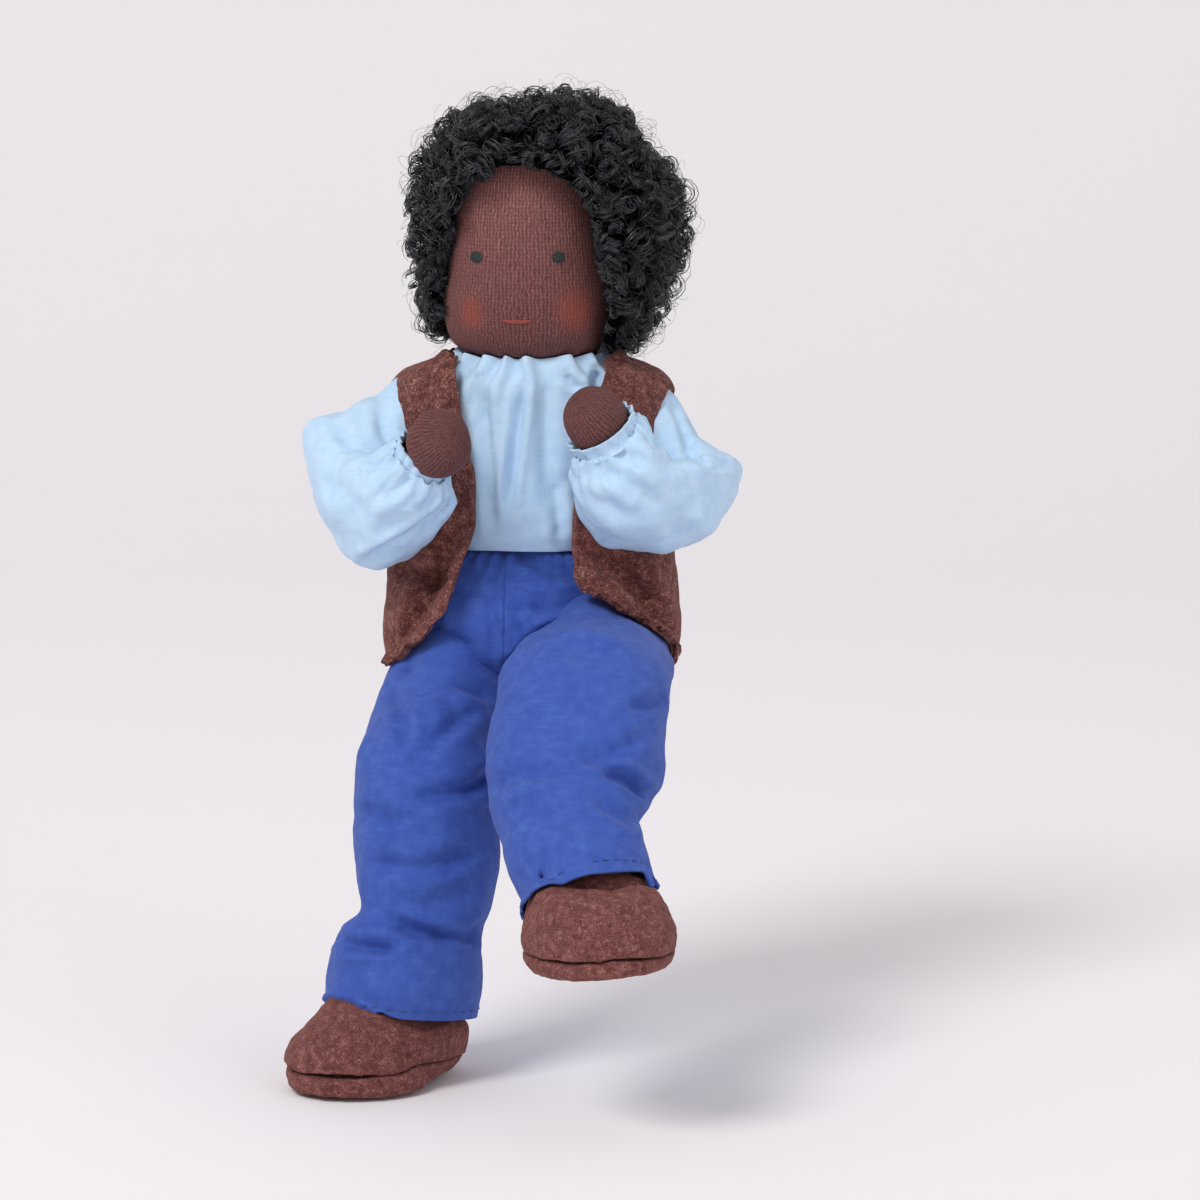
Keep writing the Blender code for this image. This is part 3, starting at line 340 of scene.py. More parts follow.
def put_places(piece, places):
    piece.data.vertices.foreach_set("co", (places * MM).ravel())
    piece.data.update()


def normals_of(piece):
    flat = np.empty(len(piece.data.vertices) * 3, dtype=np.float32)
    piece.data.vertex_normals.foreach_get("vector", flat)
    return flat.reshape(-1, 3).astype(float)


def edit_all(piece, *steps):
    """Runs edit-mode steps on the whole piece."""
    select_only(piece)
    bpy.ops.object.mode_set(mode="EDIT")
    bpy.ops.mesh.select_all(action="SELECT")
    for step in steps:
        step()
    bpy.ops.object.mode_set(mode="OBJECT")


def apply_modifier(piece, kind, **settings):
    step = piece.modifiers.new(kind.lower(), kind)
    for key, value in settings.items():
        setattr(step, key, value)
    select_only(piece)
    bpy.ops.object.modifier_apply(modifier=step.name)


def wrap_cloth(name, around, along, place, size):
    """A grid of cloth of size (width, length) in mm, wrapped by place(u, v) and sewn where it meets."""
    bpy.ops.object.select_all(action="DESELECT")
    bpy.ops.mesh.primitive_grid_add(x_subdivisions=around, y_subdivisions=along, size=1)
    piece = start_piece(name)
    share = places_of(piece)[:, :2] * MM + 0.5
    layer = piece.data.uv_layers.active.data
    flat = np.empty(len(layer) * 2)
    layer.foreach_get("uv", flat)
    layer.foreach_set("uv", (flat.reshape(-1, 2) * size).ravel())
    put_places(piece, place(share[:, 0], share[:, 1]))
    edit_all(piece, lambda: bpy.ops.mesh.remove_doubles(threshold=0.01 * MM))
    bpy.ops.object.shade_smooth()
    return piece


def delete_places(piece, chosen):
    """Takes the chosen vertices out and smooths the edges that are left."""
    for parts in (piece.data.edges, piece.data.polygons):
        parts.foreach_set("select", np.zeros(len(parts), dtype=bool))
    piece.data.vertices.foreach_set("select", chosen)
    bpy.context.view_layer.objects.active = piece
    bpy.ops.object.mode_set(mode="EDIT")
    bpy.ops.mesh.select_mode(type="VERT")
    bpy.ops.mesh.delete(type="VERT")
    bpy.ops.mesh.select_non_manifold()
    bpy.ops.mesh.vertices_smooth(factor=0.5, repeat=6)
    bpy.ops.object.mode_set(mode="OBJECT")


def along_table(table, share):
    """Rows of a table joined by a smooth curve, at shares from 0 to 1 of its length."""
    table = np.asarray(table, float)
    at = np.clip(share, 0, 1) * (len(table) - 1)
    low = np.minimum(at.astype(int), len(table) - 2)
    t = (at - low)[:, None]
    before, first = table[np.maximum(low - 1, 0)], table[low]
    second, after = table[low + 1], table[np.minimum(low + 2, len(table) - 1)]
    return 0.5 * (
        2 * first + (second - before) * t + (2 * before - 5 * first + 4 * second - after) * t ** 2
        + (3 * first - before - 3 * second + after) * t ** 3
    )


def tube_places(table, across, u, v):
    """Points round a limb. Rows of the table: centre x, y, z, half-width across, half-depth."""
    rows = along_table(table, v)
    ahead = along_table(table, v + TURN_REACH)[:, :3] - along_table(table, v - TURN_REACH)[:, :3]
    ahead /= np.linalg.norm(ahead, axis=1, keepdims=True)
    side = across - ahead * (ahead @ across)[:, None]
    side /= np.linalg.norm(side, axis=1, keepdims=True)
    front = np.cross(ahead, side)
    angle = math.tau * u
    return (
        rows[:, :3] + side * (rows[:, 3] * np.cos(angle))[:, None]
        + front * (rows[:, 4] * np.sin(angle))[:, None]
    )


def line_distance(points, line):
    """Distance of each point from a line of several stretches, and how far along it the nearest spot is."""
    line = np.asarray(line, float)
    lengths = np.linalg.norm(np.diff(line, axis=0), axis=1)
    starts = np.concatenate(([0], np.cumsum(lengths)[:-1]))
    best = np.full(len(points), 1e9)
    share = np.zeros(len(points))
    for start, first, second, length in zip(starts, line, line[1:], lengths):
        t = np.clip((points - first) @ (second - first) / length ** 2, 0, 1)
        gap = np.linalg.norm(points - (first + t[:, None] * (second - first)), axis=1)
        nearer = gap < best
        best[nearer] = gap[nearer]
        share[nearer] = (start + t[nearer] * length) / lengths.sum()
    return best, share


def press_folds(piece, folds):
    """Folds on the side that faces the picture: (points in pixels, half-width in pixels, depth in mm)."""
    places = places_of(piece)
    facing = np.clip(-normals_of(piece)[:, 1] * 1.6 + 0.2, 0, 1)
    move = np.zeros(len(places))
    spots = in_picture(places)
    for line, half_width, depth in folds:
        gap, share = line_distance(spots, line)
        fade = np.clip(np.minimum(share, 1 - share) * 5 + 0.25, 0, 1)
        groove = np.exp(-(gap / half_width) ** 2)
        ridge = np.exp(-((gap - 2 * half_width) / half_width) ** 2)
        move += fade * depth * (0.35 * ridge - groove)
    put_places(piece, places + normals_of(piece) * (move * facing)[:, None])


def fit_outline(pieces, outline, middle, weights=None, inset=0.0):
    """Widens or narrows pieces round a middle, so that what shows of them fills an outline in pixels."""
    line = np.array(outline, float)
    dense = np.concatenate([
        first + (second - first) * np.linspace(0, 1, 25)[:, None] for first, second in zip(line, line[1:])
    ]) - middle
    bins = 90

    def reach_by_angle(offsets):
        angle = (np.arctan2(offsets[:, 1], offsets[:, 0]) / math.tau % 1 * bins).astype(int) % bins
        reach = np.zeros(bins)
        np.maximum.at(reach, angle, np.hypot(offsets[:, 0], offsets[:, 1]))
        return reach

    spots = [in_picture(places_of(piece)) for piece in pieces]
    counted = [spot if weights is None else spot[weights > 0.6] for spot in spots]
    shown = reach_by_angle(np.concatenate(counted) - middle)
    wanted = reach_by_angle(dense)
    ratio = np.where((wanted > 0) & (shown > 0), (wanted - inset) / np.maximum(shown, 1), 1.0)
    smoothing = (0.1, 0.2, 0.4, 0.2, 0.1)
    ratio = np.convolve(np.concatenate((ratio[-2:], ratio, ratio[:2])), smoothing, mode="valid")
    for piece, spot in zip(pieces, spots):
        places = places_of(piece)
        offset = spot - middle
        turn = np.arctan2(offset[:, 1], offset[:, 0]) / math.tau % 1 * bins - 0.5
        grow = np.interp(turn, np.arange(-1, bins + 1), np.concatenate((ratio[-1:], ratio, ratio[:1]))) - 1
        if weights is not None:
            grow = grow * weights
        move = offset * (grow / picture_scale(places))[:, None]
        put_places(piece, places + np.outer(move[:, 0], ACROSS) - np.outer(move[:, 1], UP))


def ripple(piece, height, size, seed):
    """Soft unevenness of cloth: height and size in mm."""
    places = places_of(piece)
    shift = Vector((seed * 7.3, seed * 3.1, seed * 5.7))
    wave = np.array([noise.noise(Vector(place) / size + shift) for place in places])
    put_places(piece, places + normals_of(piece) * (wave * height)[:, None])


def keep_clear(piece, first, second, radius):
    """Moves the cloth out from the line between two places, so that what is inside doesn't show."""
    places = places_of(piece)
    line = second - first
    share = np.clip((places - first) @ line / (line @ line), 0, 1)
    out = places - first - share[:, None] * line
    gap = np.linalg.norm(out, axis=1)
    soft = radius + np.log1p(np.exp((gap - radius) * 2)) / 2
    reach = np.where(gap < radius + 2, soft, gap)
    put_places(piece, places + out * ((reach / np.maximum(gap, 1e-6)) - 1)[:, None])


def remesh(piece, cell, passes):
    """Joins overlapping forms into one skin and rounds it."""
    apply_modifier(piece, "REMESH", mode="VOXEL", voxel_size=cell * MM, adaptivity=0.0)
    apply_modifier(piece, "SMOOTH", factor=0.5, iterations=passes)
    bpy.ops.object.shade_smooth()


def rounded_box(name, centre, half_sizes, power, fineness=64):
    """A ball that is taken towards a box by its power."""
    bpy.ops.object.select_all(action="DESELECT")
    bpy.ops.mesh.primitive_uv_sphere_add(segments=fineness, ring_count=fineness // 2, radius=MM)
    piece = start_piece(name)
    ball = places_of(piece)
    reach = (np.abs(ball) ** power).sum(axis=1) ** (-1 / power)
    put_places(piece, centre + ball * reach[:, None] * half_sizes)
    bpy.ops.object.shade_smooth()
    return piece


def join_pieces(name, pieces):
    bpy.ops.object.select_all(action="DESELECT")
    for piece in pieces:
        piece.select_set(True)
    bpy.context.view_layer.objects.active = pieces[0]
    bpy.ops.object.join()
    return start_piece(name)


def surface_of(piece):
    """The piece's surface as it is now, for cloth to be laid over."""
    return BVHTree.FromPolygons(
        [tuple(place) for place in places_of(piece)], [tuple(face.vertices) for face in piece.data.polygons]
    )


def lay_over(piece, surface, gap, depth=3.0):
    """Lifts the cloth off a surface to a gap in mm, wherever it lies on it or less than depth inside it."""
    places = places_of(piece)
    for index, place in enumerate(places):
        spot, normal, _, _ = surface.find_nearest(place, depth)
        if spot is not None and (Vector(place) - spot).dot(normal) < gap:
            places[index] = spot + normal * gap
    put_places(piece, places)


def drape(piece, surfaces, gaps, passes):
    """Lays cloth over surfaces, smooths it, and lays it over them again, closer."""
    for surface in surfaces:
        lay_over(piece, surface, gaps[0])
    apply_modifier(piece, "SMOOTH", factor=0.5, iterations=passes)
    for surface in surfaces:
        lay_over(piece, surface, gaps[1])


def describe(piece, *more):
    print(piece.name, len(piece.data.polygons), "faces", *more)


def finish_cloth(piece, material, thickness, offset=-1):
    """Gives the cloth its material and a thickness in mm. Its area is half the surface of its two faces."""
    piece.data.materials.append(material)
    apply_modifier(piece, "SOLIDIFY", thickness=thickness * MM, offset=offset)
    area = sum(polygon.area for polygon in piece.data.polygons) / 2 / MM ** 2
    describe(piece, round(area), "square mm of cloth")


def joint_place(name):
    """The place of a joint in mm."""
    found = [joint for joint in frame["joints"] if joint["name"] == name][0]
    return np.array(found["pos_m"]) / MM


def joint_places(side, *names):
    return [joint_place(f"{side}_{name}") for name in names]


SIDES = {"right": -1, "left": 1}
for side in SIDES:
    joints = joint_places(side, "hip_swing", "knee", "ankle")
    print(side, "hip, knee, ankle:", [place.round(1).tolist() for place in joints])

# %% [markdown]
# ## Felt shoes
# Each shoe is a felt upper, sewn round a thick felt sole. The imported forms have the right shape, so
# they are rounded and given the felt's own unevenness, and their outline is fitted to the picture.

# %% Felt shoes
SHOE_OUTLINES = {
    "right": (
        (335, 989), (320, 1008), (306, 1025), (289, 1042), (284, 1055), (284, 1067), (286, 1078),
        (292, 1088), (303, 1093), (318, 1096), (350, 1098), (382, 1098), (403, 1095), (421, 1090),
        (430, 1083), (440, 1074), (452, 1066), (461, 1058), (467, 1047), (469, 1035), (468, 1015),
    ),
    "left": (
        (531, 889), (527, 903), (524, 919), (521, 930), (520, 942), (521, 953), (524, 963), (532, 970),
        (541, 976), (555, 979), (571, 981), (602, 981), (625, 978), (647, 974), (660, 970), (671, 962),
        (677, 950), (678, 935), (673, 918), (666, 903), (658, 889), (648, 876), (625, 867), (600, 861),
        (586, 861), (565, 868), (545, 880), (531, 889),
    ),
}
SHOE_MIDDLES = {"right": (385, 1048), "left": (600, 932)}
SHOE_PARTS = ("shoe_upper", "shoe_sole", "foot_stuffing")
ANKLE_RADIUS = 6.4
STUFFING_INSET = 0.5

shoes = {}
for side, sign in SIDES.items():
    for part in SHOE_PARTS:
        name = f"{side}_{part}_felt"
        shoe = copy_solid(name, nodes[f"{side}_{part}"])
        if part == "foot_stuffing":
            ankle_size = np.full(3, ANKLE_RADIUS)
            ankle_form = rounded_box("ankle_form", joint_place(f"{side}_ankle"), ankle_size, 2.0)
            shoe = join_pieces(name, [shoe, ankle_form])
        remesh(shoe, 0.3, 4)
        ripple(shoe, 0.3, 5.0, 60 + sign)
        ripple(shoe, 0.14, 1.1, 62 + sign)
        shoe.data.materials.append(shoe_felt)
        shoes[side, part] = shoe
        describe(shoe)
    fit_outline([shoes[side, part] for part in SHOE_PARTS], SHOE_OUTLINES[side], SHOE_MIDDLES[side])
    inner = shoes[side, "foot_stuffing"]
    put_places(inner, places_of(inner) - normals_of(inner) * STUFFING_INSET)

# %% [markdown]
# ## Trouser legs
# Each leg is a cotton tube that hangs from the hip, fills out at the bent knee and breaks over the
# shoe. The rows of the table are rings down the leg. The cloth is fuller than the leg inside, so the
# rings wander to the side on which it hangs.

# %% Trouser legs
LEG_TABLES = {
    "right": (
        (-8.6, 3.6, 13.6, 1.5, 1.5), (-8.8, 1.4, 10.6, 6.6, 5.0), (-9.2, -1.6, 7.0, 8.2, 6.2),
        (-9.9, -5.2, 2.2, 9.0, 6.6), (-11.5, -10.0, -3.2, 9.5, 7.6), (-13.2, -16.6, -7.6, 9.7, 9.0),
        (-14.3, -22.0, -11.2, 9.9, 10.0), (-14.1, -24.2, -16.0, 9.7, 10.0), (-13.9, -25.0, -21.2, 10.2, 9.8),
        (-14.4, -25.8, -26.4, 9.6, 9.2), (-14.9, -26.7, -31.2, 8.8, 8.6), (-16.4, -27.6, -35.2, 10.5, 9.9),
        (-17.1, -28.0, -39.4, 10.7, 10.5), (-17.4, -28.3, -42.9, 10.2, 10.2),
    ),
    "left": (
        (9.4, 5.0, 9.4, 1.5, 1.5), (9.3, 2.6, 8.4, 6.4, 4.6), (9.2, -2.6, 6.0, 9.0, 5.2),
        (9.2, -9.0, 4.4, 10.4, 5.5), (9.0, -15.5, 3.5, 11.0, 6.7), (8.4, -23.0, 2.8, 11.5, 8.1),
        (7.8, -29.6, 1.1, 11.8, 9.9), (7.0, -34.0, -2.9, 12.0, 10.2), (6.4, -37.8, -6.9, 12.3, 9.8),
        (5.8, -41.2, -10.5, 11.2, 9.3), (5.8, -44.6, -13.9, 9.7, 9.0), (6.8, -48.2, -17.3, 9.3, 8.9),
        (7.9, -51.2, -20.0, 8.8, 8.8), (8.6, -53.0, -21.7, 8.6, 8.8),
    ),
}
LEG_FOLDS = {
    "right": (
        (((350, 820), (372, 812), (404, 824)), 7, 1.3), (((504, 768), (470, 790), (415, 798)), 7, 1.6),
        (((326, 930), (350, 944), (396, 948)), 6, 2.3), (((396, 922), (415, 930), (448, 937)), 6, 1.9),
        (((494, 920), (470, 938), (440, 936)), 6, 1.3), (((390, 690), (402, 712), (404, 745)), 6, 1.5),
        (((372, 862), (420, 870), (478, 852)), 8, 1.0), (((480, 708), (455, 722), (428, 748)), 7, 1.0),
        (((365, 760), (395, 770), (420, 768)), 9, 0.5), (((440, 680), (452, 700), (458, 735)), 9, 0.5),
        (((485, 880), (450, 900), (420, 905)), 8, 0.5), (((402, 664), (440, 674), (494, 698)), 6, 1.6),
    ),
    "left": (
        (((680, 684), (655, 702), (630, 708)), 6, 1.5), (((652, 800), (630, 782), (604, 768)), 6, 2.0),
        (((652, 818), (628, 818), (596, 798)), 7, 1.3), (((486, 792), (520, 772), (566, 770)), 8, 1.2),
        (((555, 642), (590, 654), (632, 655)), 11, 0.7), (((644, 733), (620, 752), (580, 760)), 7, 1.1),
        (((500, 700), (525, 716), (545, 742)), 9, 0.6), (((510, 810), (545, 812), (575, 826)), 9, 0.5),
        (((530, 665), (548, 690), (556, 720)), 10, 0.4),
    ),
}
COTTON_THICKNESS = 0.35
WINDING_CLEAR = 5.0
SHOE_GAPS = (0.9, 0.6)
HEM_DROP = {"right": 0.0, "left": 3.2}
HEM_START = 0.8
HEM_SHARE = 0.2


def leg_places(side, u, v):
    """The cloth of a leg. The raised leg's hem hangs down in front, where it lies on the shoe."""
    table = np.array(LEG_TABLES[side])
    places = tube_places(table, ACROSS, u, v)
    rows = along_table(table, v)
    onward = unit(table[-1, :3] - table[-2, :3])
    front = ((places - rows[:, :3]) @ np.cross(onward, ACROSS)) / rows[:, 4]
    low = np.clip((v - HEM_START) / HEM_SHARE, 0, 1) ** 2
    return places + onward * (HEM_DROP[side] * low * np.clip(front, 0, 1))[:, None]


trouser_legs = {}
cloth_surfaces = []
for side in SIDES:
    leg = wrap_cloth(
        f"{side}_trouser_leg_cloth", 120, 150, lambda u, v: leg_places(side, u, v), (62.0, 78.0)
    )
    hip, knee, ankle = joint_places(side, "hip_swing", "knee", "ankle")
    ripple(leg, 0.7, 6.0, SIDES[side])
    ripple(leg, 0.14, 1.6, SIDES[side])
    press_folds(leg, LEG_FOLDS[side])
    apply_modifier(leg, "SMOOTH", factor=0.5, iterations=1)
    keep_clear(leg, hip, knee, WINDING_CLEAR)
    keep_clear(leg, knee, ankle, WINDING_CLEAR)
    drape(leg, [surface_of(shoes[side, "shoe_upper"])], SHOE_GAPS, 2)
    apply_modifier(leg, "SMOOTH", factor=0.5, iterations=2)
    cloth_surfaces.append(surface_of(leg))
    finish_cloth(leg, trouser_cotton, COTTON_THICKNESS)
    trouser_legs[side] = leg

# %% [markdown]
# ## Trouser seat
# The seat is a flattened cotton bag, with a fuller fold over the lap. The two forms are joined and
# remeshed, so that the cloth runs softly from one to the other, and the legs come out from under it.
# It is cut at the front seam into two halves.

# %% Trouser seat
SEAT_CENTRE = np.array((0.0, -0.1, 10.2))
SEAT_HALF_SIZES = np.array((17.6, 11.5, 10.2))
SEAT_POWER = 2.5
LAP_CENTRE = np.array((0.0, -4.0, 7.6))
LAP_HALF_SIZES = np.array((17.2, 10.2, 7.3))
GATHERS = 34
GATHER_DEPTH = 0.28
GATHERS_FROM = 15.5
GATHERS_RISE = 4.5
SEAM_PLACE = -3.4
SEAT_FOLDS = (
    (((507, 535), (497, 565), (490, 590), (494, 650)), 4, 0.45),
    (((405, 590), (450, 583), (500, 585)), 9, -0.5), (((525, 606), (560, 606), (596, 596)), 8, 1.7),
    (((400, 660), (440, 668), (490, 690)), 6, 1.9), (((420, 610), (440, 635), (470, 650)), 9, 1.0),
    (((500, 690), (512, 665), (548, 632)), 6, 1.4),
    (((600, 570), (630, 590), (655, 600)), 8, 0.5), (((532, 650), (556, 630), (585, 612)), 8, 1.3),
    (((505, 600), (525, 620), (530, 645)), 7, 0.9), (((515, 552), (550, 568), (590, 580)), 8, 0.9),
)


def half_of(piece, name, normal, at, closed=False):
    """The part of a piece that lies behind a plane. Closed, its cut gets a flat face with a sharp edge."""
    select_only(piece)
    bpy.ops.object.duplicate()
    half = start_piece(name)
    edit_all(half, lambda: bpy.ops.mesh.bisect(
        plane_co=Vector(at) * MM, plane_no=normal, clear_outer=True, use_fill=closed
    ))
    if not closed:
        return half
    for face in half.data.polygons:
        from_plane = abs((face.center / MM - Vector(at)).dot(normal))
        if abs(face.normal.dot(Vector(normal))) > 0.999 and from_plane < 0.01:
            face.use_smooth = False
            for loop in face.loop_indices:
                half.data.edges[half.data.loops[loop].edge_index].use_edge_sharp = True
    return half


seat = join_pieces("trouser_seat_cloth", [
    rounded_box("seat_form", SEAT_CENTRE, SEAT_HALF_SIZES, SEAT_POWER),
    rounded_box("lap_form", LAP_CENTRE, LAP_HALF_SIZES, SEAT_POWER),
])
remesh(seat, 0.45, 10)
places = places_of(seat)
upper = np.clip((places[:, 2] - GATHERS_FROM) / GATHERS_RISE, 0, 1)
turn = np.arctan2(places[:, 1], places[:, 0])
gather = np.cos(turn * GATHERS + 2 * np.sin(turn * 5)) * GATHER_DEPTH * upper
put_places(seat, places + normals_of(seat) * gather[:, None])
ripple(seat, 0.5, 5.5, 4)
ripple(seat, 0.14, 1.5, 5)
press_folds(seat, SEAT_FOLDS)
cloth_surfaces.append(surface_of(seat))
seat_halves = {
    "right": half_of(seat, "right_trouser_seat_cloth", (1, 0, 0), (SEAM_PLACE, 0, 0)),
    "left": half_of(seat, "left_trouser_seat_cloth", (-1, 0, 0), (SEAM_PLACE, 0, 0)),
}
bpy.data.objects.remove(seat)
for half in seat_halves.values():
    finish_cloth(half, trouser_cotton, COTTON_THICKNESS)

# %% [markdown]
# ## Shirt body
# The shirt is thin cotton, drawn in at the neck by a thread, so its top edge stands up in small
# scallops and soft pleats run down from it. It fills the chest and goes into the trousers.

# %% Shirt body
SHIRT_ROWS = (
    (0.2, 0.0, 18.6, 15.2, 9.8), (0.2, 0.0, 20.5, 16.2, 10.4), (0.2, 0.0, 24.0, 17.0, 10.9),
    (0.2, 0.0, 29.0, 17.2, 11.0), (0.2, 0.0, 34.0, 17.1, 10.9), (0.2, 0.0, 38.5, 16.6, 10.7),
    (0.2, 0.0, 41.4, 15.3, 10.7), (0.2, 0.0, 43.5, 13.2, 10.5), (0.2, 0.0, 45.0, 11.4, 10.1),
    (0.2, 0.0, 46.0, 10.5, 9.4),
)
NECK_PLEATS = 17
PLEAT_DEPTH = 0.8
SCALLOP_HEIGHT = 0.3
SHIRT_THICKNESS = 0.25
SHIRT_FOLDS = (
    (((523, 370), (518, 420), (507, 506)), 5, 1.2), (((565, 375), (572, 384), (580, 390)), 4, 0.7),
    (((597, 370), (594, 400)), 5, 1.3), (((480, 380), (486, 440), (492, 530)), 6, 0.8),
    (((547, 372), (545, 450), (549, 520)), 7, 0.6), (((556, 480), (560, 540)), 6, 0.8),
    (((475, 372), (470, 410)), 5, 0.5),
)


def shirt_places(u, v):
    places = tube_places(SHIRT_ROWS, ACROSS, u, v)
    turn = math.tau * u
    wave = np.cos(NECK_PLEATS * turn + 1.7 * np.sin(3 * turn) + 0.9 * np.sin(7 * turn))
    high = np.clip((v - 0.3) / 0.6, 0, 1) ** 1.5
    out = np.stack((np.cos(turn), np.sin(turn), np.zeros_like(u)), axis=1)
    places += out * (wave * PLEAT_DEPTH * high)[:, None]
    places[:, 2] += SCALLOP_HEIGHT * wave * np.clip((v - 0.88) / 0.12, 0, 1)
    return places


shirt = wrap_cloth("shirt_body_cloth", 288, 96, shirt_places, (106.0, 34.0))
ripple(shirt, 0.45, 6.0, 7)
ripple(shirt, 0.12, 1.8, 8)
press_folds(shirt, SHIRT_FOLDS)
apply_modifier(shirt, "SMOOTH", factor=0.4, iterations=1)
cloth_surfaces.append(surface_of(shirt))
finish_cloth(shirt, shirt_cotton, SHIRT_THICKNESS)

# %% [markdown]
# ## Sleeves
# Each sleeve is a wide tube of the same cotton, set into the armhole and drawn in at the wrist. The
# bent arm crushes it at the elbow, so it stands out in two puffs with a deep crease between them.
# The tube is remeshed where it runs into itself, and its cloth is then let out a little in a cloth
# simulation with air in it, so that it wrinkles where it is held.

# %% Sleeves
SLEEVE_ROWS = {
    "right": (
        (-13.5, 1.5, 38.5, 3.0, 3.0), (-17.0, 0.5, 37.0, 6.5, 6.5), (-20.6, -1.5, 33.4, 8.7, 8.2),
        (-22.3, -4.0, 29.0, 9.2, 8.8), (-22.0, -7.5, 26.0, 9.0, 8.8), (-20.0, -11.5, 25.8, 8.3, 8.2),
        (-17.8, -15.0, 28.3, 7.1, 7.1), (-15.6, -17.2, 31.2, 5.3, 5.3), (-14.4, -18.2, 33.0, 3.9, 3.9),
    ),
    "left": (
        (13.5, 1.5, 38.5, 3.0, 3.0), (17.0, 0.5, 37.0, 6.5, 6.5), (20.0, -1.5, 33.2, 8.5, 8.1),
        (21.0, -4.0, 28.8, 8.7, 8.8), (20.4, -7.5, 26.4, 8.8, 8.8), (18.0, -11.5, 26.2, 8.6, 8.4),
        (15.6, -14.5, 28.6, 8.1, 7.6), (12.7, -17.4, 33.0, 6.6, 6.2), (10.5, -18.9, 36.5, 4.7, 4.6),
    ),
}
SLEEVE_FOLDS = {
    "right": (
        (((358, 566), (405, 540), (458, 498)), 5, 1.3), (((322, 405), (334, 411), (346, 404)), 5, 1.1),
        (((338, 430), (347, 440), (352, 455)), 6, 0.7), (((380, 412), (384, 432), (398, 450)), 6, 0.7),
        (((360, 470), (392, 462), (412, 455)), 6, 0.6), (((365, 505), (398, 488), (418, 472)), 6, 0.6),
        (((318, 480), (345, 495), (360, 515)), 8, 0.5), (((400, 545), (425, 520), (440, 500)), 5, -0.4),
    ),
    "left": (
        (((688, 452), (708, 462), (732, 466)), 5, 1.9), (((672, 398), (684, 424), (690, 450)), 6, 1.1),
        (((591, 436), (620, 452), (653, 466)), 6, 0.8), (((596, 470), (625, 480), (650, 500)), 7, 0.6),
        (((640, 412), (650, 432), (652, 446)), 6, 0.5), (((583, 500), (610, 505), (630, 520)), 7, 0.5),
        (((700, 500), (680, 515), (668, 535)), 8, 0.5),
    ),
}
SLEEVE_OUTLINES = {
    "right": ((396, 396), (371, 393), (350, 404), (333, 415), (307, 420), (305, 445), (309, 473), (314, 497),
              (322, 519), (340, 546), (361, 570), (380, 568), (400, 562), (415, 552), (429, 539), (447, 518),
              (462, 497)),
    "left": ((640, 405), (653, 405), (676, 398), (686, 418), (696, 440), (716, 450), (737, 461), (741, 471),
             (739, 484), (728, 508), (711, 536), (690, 546), (664, 554), (632, 551), (600, 546), (587, 526),
             (575, 506), (569, 485), (566, 464)),
}
SLEEVE_MIDDLES = {"right": (385, 482), "left": (652, 480)}
BEND_NORMAL = np.array((0.85, 0.25, 0.46))
print("rings in a sleeve:", len(SLEEVE_ROWS["right"]))

# %% [markdown]
# The simulation is only as fine as its settings: a light cloth that grows by 7 percent under a little
# air pressure. It is made 40 times larger for it, as cloth of a few centimetres would be too small
# for the solver, and no point moves further than its reach.

# %% Air in the cloth
CLOTH_SCALE = 40.0
CLOTH_FRAMES = 20
CLOTH_GROWTH = 0.07
CLOTH_PRESSURE = 3.0
CLOTH_REACH = 1.6
CLOTH_SETTINGS = {
    "vertex_group_mass": "held", "quality": 6, "mass": 0.2, "air_damping": 3, "tension_stiffness": 25,
    "compression_stiffness": 25, "shear_stiffness": 10, "bending_stiffness": 0.4,
    "shrink_min": -CLOTH_GROWTH, "use_pressure": True, "uniform_pressure_force": CLOTH_PRESSURE,
}


def blow_up(piece, held):
    """Lets the cloth out and fills it with air. The places in held (from 0 to 1) stay where they are."""
    before = places_of(piece)
    group = piece.vertex_groups.new(name="held")
    for index, weight in enumerate(held):
        if weight > 0.01:
            group.add([index], float(weight), "REPLACE")
    put_places(piece, before * CLOTH_SCALE)
    step = piece.modifiers.new("cloth", "CLOTH")
    for key, value in CLOTH_SETTINGS.items():
        setattr(step.settings, key, value)
    step.settings.effector_weights.gravity = 0
    step.collision_settings.use_collision = False
    step.point_cache.frame_start = 1
    step.point_cache.frame_end = CLOTH_FRAMES
    for number in range(1, CLOTH_FRAMES + 1):
        bpy.context.scene.frame_set(number)
        bpy.context.view_layer.update()
    select_only(piece)
    bpy.ops.object.modifier_apply(modifier=step.name)
    bpy.context.scene.frame_set(1)
    move = places_of(piece) / CLOTH_SCALE - before
    length = np.linalg.norm(move, axis=1, keepdims=True)
    put_places(piece, before + move * np.minimum(1, CLOTH_REACH / np.maximum(length, 1e-9)))
    print(piece.name, "moved by up to", round(float(length.max()), 2), "mm in the simulation")


# %% Sleeves
CUFF_GATHERS = 17
CUFF_DEPTH = 0.5

